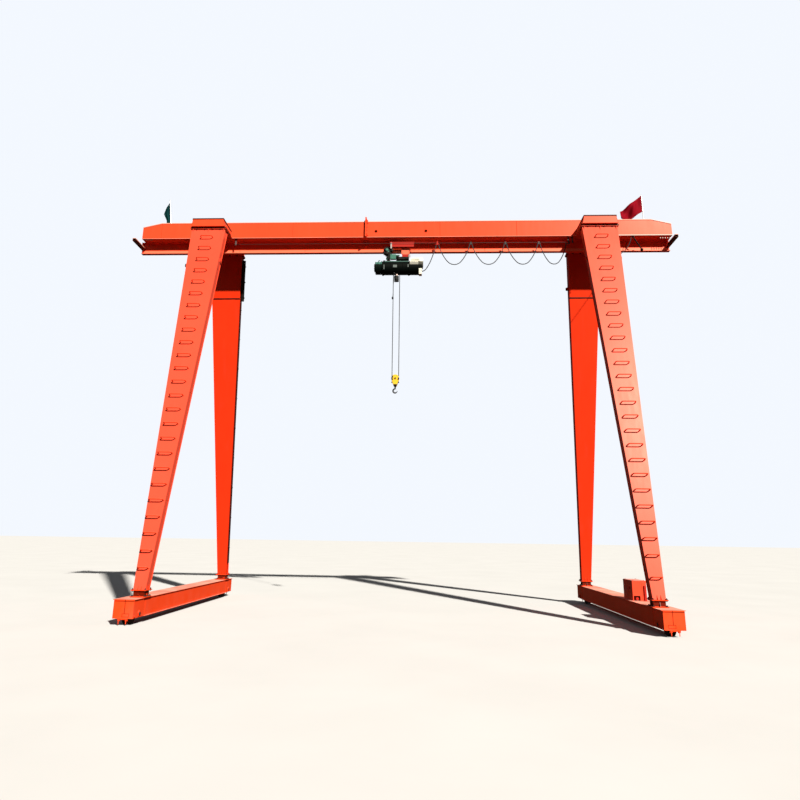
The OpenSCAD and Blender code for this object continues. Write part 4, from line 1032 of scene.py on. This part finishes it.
# a flat plate in front of the right side plate, a pale post beside the drive and a short one at the plate
front_plate = Shape()
front_plate.box((-0.020, -0.117, 10.580), (0.230, -0.111, 10.789))
for x in (0.012, 0.218):
    front_plate.box((x - 0.004, -0.124, 10.590), (x + 0.004, -0.117, 10.775))
for x, z in ((0.03, 10.765), (0.20, 10.765), (0.03, 10.60), (0.20, 10.60)):
    front_plate.bolt((x, -0.117, z), (0, -1, 0), 0.020)
front_plate.make("trolley_front_plate", plate_sunlit_pale, "trolley", "trolley_red", 0.001)
posts = Shape()
posts.box((-0.363, -0.235, 10.735), (-0.318, -0.215, 10.930))
posts.box((-0.352, -0.216, 10.740), (-0.328, -0.160, 10.755))
posts.box((0.205, -0.135, 10.487), (0.262, -0.107, 10.569))
posts.bolt((0.233, -0.135, 10.53), (0, -1, 0), 0.016)
posts.bolt((-0.340, -0.235, 10.90), (0, -1, 0), 0.014)
posts.make("trolley_posts", post_grey, "trolley", "trolley_red", 0.001)

# the tow channel that the cables' first clamp follows
arm = Shape()
arm.box((-0.334, -0.212, 10.794), (0.371, -0.205, 10.919))
arm.box((-0.334, -0.212, 10.913), (0.371, -0.196, 10.919))
arm.box((-0.334, -0.212, 10.794), (0.371, -0.196, 10.800))
for x in (-0.25, 0.0, 0.33):
    arm.box((x - 0.02, -0.206, 10.91), (x + 0.02, -0.200, 10.94))
# a dark red strip below the front plate: painted shade on its turned-back lower part
arm.box((0.000, -0.111, 10.492), (0.236, -0.1065, 10.580))
arm.make("tow_arm_channel", arm_red, "trolley", "trolley_red", 0.001)

# drum casing: ribs, end-ring bolts, the rope guide's frame and feet
ribs = Shape()
for x in (-0.35, 0.02):
    ribs.turned([(0, CASING_R - 0.002), (0, CASING_R + 0.010), (0.014, CASING_R + 0.010), (0.014, CASING_R - 0.002)], (x, 0, HOIST_Z), (1, 0, 0), 64)
ribs.box((-0.59, -0.05, HOIST_Z + CASING_R - 0.012), (-0.53, 0.05, HOIST_Z + CASING_R + 0.012))
tie = Shape()
for s in (-1, 1):
    tie.box((DRUM_LEFT + 0.08, s * 0.165, HOIST_Z + 0.112), (DRUM_RIGHT - 0.04, s * 0.195, HOIST_Z + 0.142))
    for x in (-0.50, -0.28, -0.05, 0.16):
        tie.bolt((x, s * 0.180, HOIST_Z + 0.142), (0, 0, 1), 0.018)
tie.make("casing_tie_bars", rail_green, "trolley", "drum_dark", 0.001)
patches = Shape()
patches.box((-0.568, -0.230, HOIST_Z - 0.145), (-0.545, -0.195, HOIST_Z + 0.005))
patches.box((-0.275, -0.2265, HOIST_Z - 0.085), (-0.155, -0.195, HOIST_Z + 0.0))
for k in range(3):
    patches.box((-0.265 + 0.038 * k, -0.2285, HOIST_Z - 0.072), (-0.245 + 0.038 * k, -0.2265, HOIST_Z - 0.012))
patches.box((0.180, -0.2300, HOIST_Z - 0.080), (0.208, -0.195, HOIST_Z + 0.015))
patches.make("casing_plates", plate_grey, "trolley", "drum_dark", 0.001)
for s in (-1, 1):
    ribs.box((HOOK_X - 0.15, s * 0.042, 9.955), (HOOK_X + 0.15, s * 0.056, 9.985))
for s in (-1, 1):
    ribs.box((HOOK_X + s * 0.15 - 0.008, -0.056, 9.955), (HOOK_X + s * 0.15 + 0.008, 0.056, 9.985))
for x in (-0.60, 0.215):
    ribs.box((x - 0.025, -0.09, 9.945), (x + 0.025, 0.09, 9.975))
ribs.make("casing_ribs", drum_dark, "trolley", "drum_dark", 0.001)
rim_bolts = Shape()
for x, s in ((DRUM_LEFT, -1), (DRUM_LEFT + 0.03, 1), (DRUM_RIGHT - 0.03, -1)):
    for k in range(16):
        a = 2 * math.pi * (k + 0.5) / 16
        if x < DRUM_LEFT + 0.01:
            continue
        rim_bolts.bolt((x, 0.2185 * math.cos(a), HOIST_Z + 0.2185 * math.sin(a)), (s, 0, 0), 0.010)
for k in range(12):
    a = 2 * math.pi * k / 12
    rim_bolts.bolt((DRUM_LEFT - 0.21, 0.175 * math.cos(a), HOIST_Z + 0.175 * math.sin(a)), (-1, 0, 0), 0.022)
for k in range(8):
    a = 2 * math.pi * k / 8
    rim_bolts.bolt((DRUM_LEFT - 0.25, 0.085 * math.cos(a), HOIST_Z + 0.085 * math.sin(a)), (-1, 0, 0), 0.018)
rim_bolts.make("hoist_bolts", bolt_dark, "trolley", "drum_dark")

# the rope winding that shows in the casing's slot
winding = Shape()
for k in range(15):
    x = HOOK_X - 0.126 + 0.018 * k
    winding.turned([(-0.008, 0.0), (-0.0075, 0.003), (-0.004, 0.007), (0, 0.008), (0.004, 0.007), (0.0075, 0.003), (0.008, 0.0)],
                   (x, 0, 10.0395), (1, 0, 0), 8)
    winding.tube([(x, 0.038 * math.cos(a), 10.052 - 0.012 * math.sin(a)) for a in [math.pi * j / 8 for j in range(9)]], 0.008, 8)
winding.make("rope_winding", rope_steel, "trolley", "rope_steel")

gear = Shape()
for x in (-0.66, -0.75):
    gear.turned([(0, 0.198), (0, 0.212), (0.02, 0.212), (0.02, 0.198)], (x, 0, HOIST_Z), (1, 0, 0), 56)
for k in range(8):
    a = 2 * math.pi * k / 8 + 0.2
    c, s = math.cos(a), math.sin(a)
    gear.box((-0.868, 0.118 * c - 0.006, HOIST_Z + 0.118 * s - 0.006), (-0.83, 0.118 * c + 0.006, HOIST_Z + 0.118 * s + 0.006))
gear.turned([(0, 0), (0, 0.02), (0.02, 0.02), (0.026, 0.012), (0.026, 0)], (-0.72, -0.05, HOIST_Z + 0.205), (0, 0, 1), 16)
gear.make("gear_case_rings", gear_green, "trolley", "gear_green", 0.001)

MOTOR = Vector((0, -0.07, HOIST_Z + 0.10))
motor = Shape()
for k in range(28):
    a = 2 * math.pi * k / 28
    if -2.2 < math.atan2(math.sin(a), math.cos(a)) < -0.5:
        continue
    u = Vector((0, math.cos(a), math.sin(a)))
    v = Vector((0, -math.sin(a), math.cos(a)))
    p = [MOTOR + u * 0.147 - v * 0.003, MOTOR + u * 0.158 - v * 0.002, MOTOR + u * 0.158 + v * 0.002, MOTOR + u * 0.147 + v * 0.003]
    motor.prism([(q.y, q.z) for q in p], "x", DRUM_RIGHT + 0.05, DRUM_RIGHT + 0.285)
motor.turned([(0, 0.149), (0, 0.162), (0.03, 0.162), (0.03, 0.149)], MOTOR + Vector((DRUM_RIGHT + 0.005, 0, 0)), (1, 0, 0), 48)
motor.turned([(0, 0.149), (0, 0.158), (0.112, 0.158), (0.120, 0.150), (0.120, 0.0)], MOTOR + Vector((DRUM_RIGHT + 0.298, 0, 0)), (1, 0, 0), 48)
motor.box((DRUM_RIGHT + 0.04, -0.150, MOTOR.z + 0.105), (DRUM_RIGHT + 0.405, -0.005, MOTOR.z + 0.185))
motor.make("motor_fins", motor_white, "trolley", "motor_white", 0.001)

grille = Shape()
for k in range(5):
    grille.turned([(0, 0.022 + 0.02 * k), (0.003, 0.022 + 0.02 * k), (0.003, 0.028 + 0.02 * k), (0, 0.028 + 0.02 * k)],
                  MOTOR + Vector((DRUM_RIGHT + 0.4205, 0, 0)), (1, 0, 0), 36)
grille.make("motor_grille", black_paint, "trolley", "motor_white")

box = Shape()
bx0, bx1, by0, by1, bz0, bz1 = 0.53, 0.62, -0.30, -0.12, 9.87, 10.04
box.box((bx0 + 0.008, by0 - 0.006, bz0 + 0.008), (bx1 - 0.008, by0, bz1 - 0.008))
box.box((bx0 - 0.006, by0 + 0.012, bz1 - 0.012), (bx1 + 0.006, by1 - 0.05, bz1 - 0.004))
for z in (bz0 + 0.03, bz1 - 0.045):
    box.rod((bx0 + 0.001, by0 - 0.005, z), (bx0 + 0.001, by0 - 0.005, z + 0.02), 0.006, sides=10)
box.make("control_box_door", box_white, "trolley", "motor_white", 0.001)
gland = Shape()
gland.turned([(0, 0.0), (0, 0.019), (0.008, 0.019), (0.008, 0.015), (0.026, 0.014), (0.03, 0.0138), (0.03, 0.0)], (0.6205, -0.22, 9.965), (1, 0, 0), 16)
gland.turned([(0, 0), (0, 0.008), (0.012, 0.008), (0.012, 0)], (0.605, -0.306, 9.965), (0, -1, 0), 12)
for k in range(2):
    gland.turned([(0, 0), (0, 0.013), (0.02, 0.012), (0.02, 0)], (0.555 + 0.04 * k, -0.24, bz0), (0, 0, -1), 12)
gland.make("control_box_glands", cable_black, "trolley", "cable_black")

# the limit switch's weight: clamp plates and bolts
weight = Shape()
for s in (-1, 1):
    for dx in (-0.03, 0.03):
        weight.bolt((HOOK_X + dx, s * 0.066, 9.815), (0, s, 0), 0.022)
weight.turned([(0, 0.008), (0.0, 0.014), (0.03, 0.014), (0.03, 0.008)], (HOOK_X, 0, 9.892), (0, 0, 1), 16)
weight.turned([(-0.080, 0.0), (-0.080, 0.055), (-0.064, 0.0745), (0.070, 0.0745), (0.085, 0.055), (0.085, 0.0)],
              (HOOK_X, 0, 9.820), (0, 0, 1), 32)
weight.make("limit_weight_clamps", weight_dark, "trolley", "weight_dark", 0.001)
tag = Shape()
tag.box((HOOK_X - 0.012, -0.062, 9.897), (HOOK_X + 0.042, -0.050, 9.945))
tag.bolt((HOOK_X + 0.015, -0.062, 9.920), (0, -1, 0), 0.012)
tag.rod((HOOK_X + 0.012, -0.050, 9.920), (HOOK_X + 0.004, -0.004, 9.920), 0.005, sides=10)
tag.make("limit_tag", lug_pale, "trolley", "weight_dark", 0.0008)

# the limit switch's pull wire, with a ball at its end
wire = Shape()
wire.rod((-0.240, -0.100, 9.960), (-0.279, -0.100, 9.16), 0.0045, sides=8)
wire.turned([(-0.046, 0.0), (-0.042, 0.015), (-0.028, 0.027), (0, 0.030), (0.028, 0.027), (0.042, 0.015), (0.046, 0.0)],
            (-0.279, -0.100, 9.130), (0, 0, 1), 18)
wire.box((-0.252, -0.112, 9.955), (-0.228, -0.05, 9.973))
wire.make("limit_pull_wire", cable_black, "trolley", "weight_dark")


# Ropes, hook block and hook

ROPE_TOP, ROPE_LOW = 10.0397, 6.587
for s, name in ((-1, "rope_left"), (1, "rope_right")):
    fall = Shape()
    x = HOOK_X + s * 0.1
    fall.rod((x, 0, ROPE_LOW), (x, 0, ROPE_TOP), 0.0105, sides=16)
    o = fall.make(name, rope_steel)
    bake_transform(o)
    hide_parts("ropes")

SHEAVE_Z = 6.587
hblock = Shape()
W = 0.118
meet = math.radians(29)
side_outline = [(HOOK_X + W * math.cos(a), SHEAVE_Z + W * math.sin(a))
                for a in [-meet + (math.pi + 2 * meet) * k / 40 for k in range(41)]]
side_outline += [(HOOK_X - 0.045, HOOK_LOW), (HOOK_X + 0.045, HOOK_LOW)]
for s in (-1, 1):
    hblock.prism(side_outline, "y", s * 0.048, s * 0.060)
    hblock.turned([(0, 0.0), (0, 0.040), (0.006, 0.042), (0.010, 0.038), (0.010, 0)], (HOOK_X, s * 0.060, SHEAVE_Z), (0, s, 0), 36)
for a in (0.5, 1.57, 2.64):
    p = Vector((HOOK_X + 0.106 * math.cos(a), 0, SHEAVE_Z + 0.106 * math.sin(a)))
    hblock.rod((p.x, -0.048, p.z), (p.x, 0.048, p.z), 0.009, sides=12)
y_block = hblock.make("hook_block_plates", block_yellow, "hook_block", "block_yellow", 0.003)
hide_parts("hook_block")
band = Shape()
for s in (-1, 1):
    y0b, y1b = s * 0.0600, s * 0.0612
    for t0, t1 in ((2.35, 3.75), (-0.62, 0.25)):
        steps = [t0 + (t1 - t0) * k / 12 for k in range(13)]
        outer = [(HOOK_X + 0.1175 * math.cos(a), SHEAVE_Z + 0.1175 * math.sin(a)) for a in steps]
        inner = [(HOOK_X + 0.078 * math.cos(a), SHEAVE_Z + 0.078 * math.sin(a)) for a in reversed(steps)]
        band.prism(outer + inner, "y", y0b, y1b)
    band.box((HOOK_X - 0.05, y0b, HOOK_LOW + 0.002), (HOOK_X + 0.05, y1b, HOOK_LOW + 0.045))
for s in (-1, 1):
    band.box((HOOK_X + s * 0.1, -0.047, SHEAVE_Z - 0.13), (HOOK_X + s * 0.075, 0.047, SHEAVE_Z - 0.06),
             Matrix.Rotation(-s * 0.5, 3, "Y"))
band.box((HOOK_X - 0.045, -0.060, HOOK_LOW + 0.006), (HOOK_X + 0.045, -0.0235, HOOK_LOW + 0.046))
band.box((HOOK_X - 0.045, 0.0235, HOOK_LOW + 0.006), (HOOK_X + 0.045, 0.060, HOOK_LOW + 0.046))
band.box((HOOK_X - 0.045, -0.0235, HOOK_LOW + 0.006), (HOOK_X - 0.0235, 0.0235, HOOK_LOW + 0.046))
band.box((HOOK_X + 0.0235, -0.0235, HOOK_LOW + 0.006), (HOOK_X + 0.045, 0.0235, HOOK_LOW + 0.046))
band.make("hook_block_black", black_paint, "hook_block", "block_yellow", 0.001)
sheave = Shape()
sheave.turned([(-0.022, 0.025), (-0.022, 0.0915), (-0.017, 0.0917), (-0.009, 0.078), (0.009, 0.078), (0.017, 0.0917), (0.022, 0.0915), (0.022, 0.025)],
              (HOOK_X, 0, SHEAVE_Z), (0, 1, 0), 56)
sheave.rod((HOOK_X, -0.072, SHEAVE_Z), (HOOK_X, 0.072, SHEAVE_Z), 0.025, sides=32)
for s in (-1, 1):
    sheave.bolt((HOOK_X, s * 0.070, SHEAVE_Z), (0, s, 0), 0.030)
    for dx in (-0.028, 0.028):
        sheave.bolt((HOOK_X + dx, s * 0.060, HOOK_LOW + 0.026), (0, s, 0), 0.020)
sheave.tube([(HOOK_X + 0.0845 * math.cos(a), 0, SHEAVE_Z + 0.0845 * math.sin(a)) for a in [math.pi * k / 20 - math.pi for k in range(21)]], 0.008, 10)
sheave.make("hook_block_sheave", hook_steel, "hook_block", "block_yellow")

# the hook: one forged bar with changing thickness, a nut above, and a spring latch across the mouth
BOWL_Z = HOOK_LOW - 0.150
forged = Shape()
centre = [(HOOK_X, HOOK_LOW + 0.046), (HOOK_X, HOOK_LOW + 0.0), (HOOK_X, HOOK_LOW - 0.035), (HOOK_X, BOWL_Z + 0.083)]
sizes = [0.022, 0.022, 0.021, 0.022]
for k in range(27):
    a = math.pi / 2 + (250 * math.pi / 180) * k / 26
    grow = math.sin(math.pi * min(1, k / 22))
    centre.append((HOOK_X + 0.062 * math.cos(a) if k else HOOK_X - 0.004, BOWL_Z + 0.062 * math.sin(a)))
    sizes.append(0.0195 + 0.0045 * grow if k < 22 else 0.0195 - 0.0022 * (k - 21))
centre.append((HOOK_X + 0.063, BOWL_Z - 0.002))
sizes.append(0.0075)
rings, sides = [], 16
pts = [Vector((x, 0, z)) for x, z in centre]
for i, p in enumerate(pts):
    t = (pts[min(i + 1, len(pts) - 1)] - pts[max(i - 1, 0)]).normalized()
    v = Vector((0, 1, 0))
    u = t.cross(v).normalized()
    rings += [p + sizes[i] * (math.cos(2 * math.pi * k / sides) * u + 0.9 * math.sin(2 * math.pi * k / sides) * v) for k in range(sides)]
forged.add(rings, [(i * sides + k, i * sides + (k + 1) % sides, (i + 1) * sides + (k + 1) % sides, (i + 1) * sides + k)
                   for i in range(len(pts) - 1) for k in range(sides)], True)
forged.add(rings[-sides:], [tuple(range(sides))])
forged.rod((HOOK_X, 0, HOOK_LOW + 0.0463), (HOOK_X, 0, HOOK_LOW + 0.0623), 0.035, sides=24)
forged.turned([(0, 0.024), (0.0, 0.032), (0.012, 0.032), (0.012, 0.024)], (HOOK_X, 0, HOOK_LOW - 0.025), (0, 0, 1), 24)
h = forged.make("forged_hook", hook_steel, "hook", "hook_steel")
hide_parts("hook")
latch = Shape()
latch.box((HOOK_X + 0.02, -0.010, BOWL_Z + 0.030), (HOOK_X + 0.026, 0.010, BOWL_Z + 0.075), Matrix.Rotation(-0.62, 3, "Y"))
latch.rod((HOOK_X + 0.006, -0.026, BOWL_Z + 0.07), (HOOK_X + 0.006, 0.026, BOWL_Z + 0.07), 0.006, sides=12)
latch.make("hook_latch", bolt_steel, "hook", "hook_steel", 0.001)


# Festoon clamps

for i, body in enumerate(("trolley", "cable_carrier_1", "cable_carrier_2", "cable_carrier_3")):
    x = CARRIERS[i]
    c = Shape()
    for s in (-1, 1):
        c.box((x - 0.014, -0.25 + s * 0.012, WIRE_Z - 0.046), (x + 0.014, -0.25 + s * 0.015, WIRE_Z + 0.015))
        c.bolt((x, -0.25 + s * 0.015, WIRE_Z - 0.038), (0, s, 0), 0.010)
        for dx in (-0.05, 0.05):
            c.rod((x + dx * 0.92 - 0.008, -0.25, WIRE_Z - 0.066), (x + dx * 0.92 + 0.008, -0.25, WIRE_Z - 0.066), 0.0145, sides=14)
    c.rod((x - 0.018, -0.25, WIRE_Z), (x + 0.018, -0.25, WIRE_Z), 0.010, sides=20, hole=0.005)
    c.make(f"festoon_clamp_{i + 1}", cable_black, body, "wire_steel", 0.0006)

hangers = Shape()
for s in (-1, 1):
    x = s * 5.28
    hangers.box((x - 0.035, -0.275, BOX_LOW - 0.006), (x + 0.035, -0.225, BOX_LOW))
    for dx, dy in ((-0.024, -0.25), (0.024, -0.25)):
        hangers.bolt((x + dx, dy, BOX_LOW - 0.006), (0, 0, -1), 0.018)
    hangers.turned([(0, 0.0), (0, 0.012), (0.05, 0.012), (0.05, 0.006), (0.09, 0.006), (0.09, 0)], (x - s * 0.115, -0.25, WIRE_Z), (s, 0, 0), 14)
hangers.make("wire_hangers", pipe_brown, "frame", "wire_steel", 0.001)


# Floor, light and world

def make_stage():
    n = Nodes("pale_floor")
    seen = n.new("ShaderNodeLightPath").outputs["Is Camera Ray"]
    speckle = n.span(n.noise(0.35, 4), 0.3, 0.7)
    color = n.mix(speckle, (0.76, 0.755, 0.745), (0.80, 0.795, 0.785))
    color = n.mix(seen, (0.062, 0.032, 0.018), color)
    n.shader.inputs["Specular IOR Level"].default_value = 0.1
    n.done(color, 0.95)
    mesh = bpy.data.meshes.new("floor")
    r = 260
    mesh.from_pydata([(-r, -60, 0), (r, -60, 0), (r, r, 0), (-r, r, 0)], [], [(0, 1, 2, 3)])
    mesh.materials.append(n.mat)
    floor = bpy.data.objects.new("floor", mesh)
    bpy.context.scene.collection.objects.link(floor)

    world = bpy.data.worlds.new("studio")
    world.use_nodes = True
    t = world.node_tree
    back = t.nodes["Background"]
    back.inputs["Color"].default_value = (0.90, 0.94, 1.0, 1)
    path = t.nodes.new("ShaderNodeLightPath")
    lit = t.nodes.new("ShaderNodeMix")
    lit.data_type = "FLOAT"
    lit.inputs[2].default_value = 0.07
    lit.inputs[3].default_value = 1.0
    t.links.new(path.outputs["Is Camera Ray"], lit.inputs[0])
    t.links.new(lit.outputs[0], back.inputs["Strength"])
    bpy.context.scene.world = world

    def lamp(name, toward, strength, angle, color):
        data = bpy.data.lights.new(name, "SUN")
        data.energy = strength
        data.angle = math.radians(angle)
        data.color = color
        o = bpy.data.objects.new(name, data)
        o.rotation_euler = Vector(toward).to_track_quat("Z", "Y").to_euler()
        bpy.context.scene.collection.objects.link(o)

    lamp("key_light", (0.58, -1.0, 0.74), 7.0, 1.5, (1.0, 0.955, 0.87))
    lamp("fill_light", (-0.5, -0.6, 0.35), 0.12, 40, (0.92, 0.96, 1.0))
    view = bpy.context.scene.view_settings
    view.view_transform = "Standard"


make_stage()
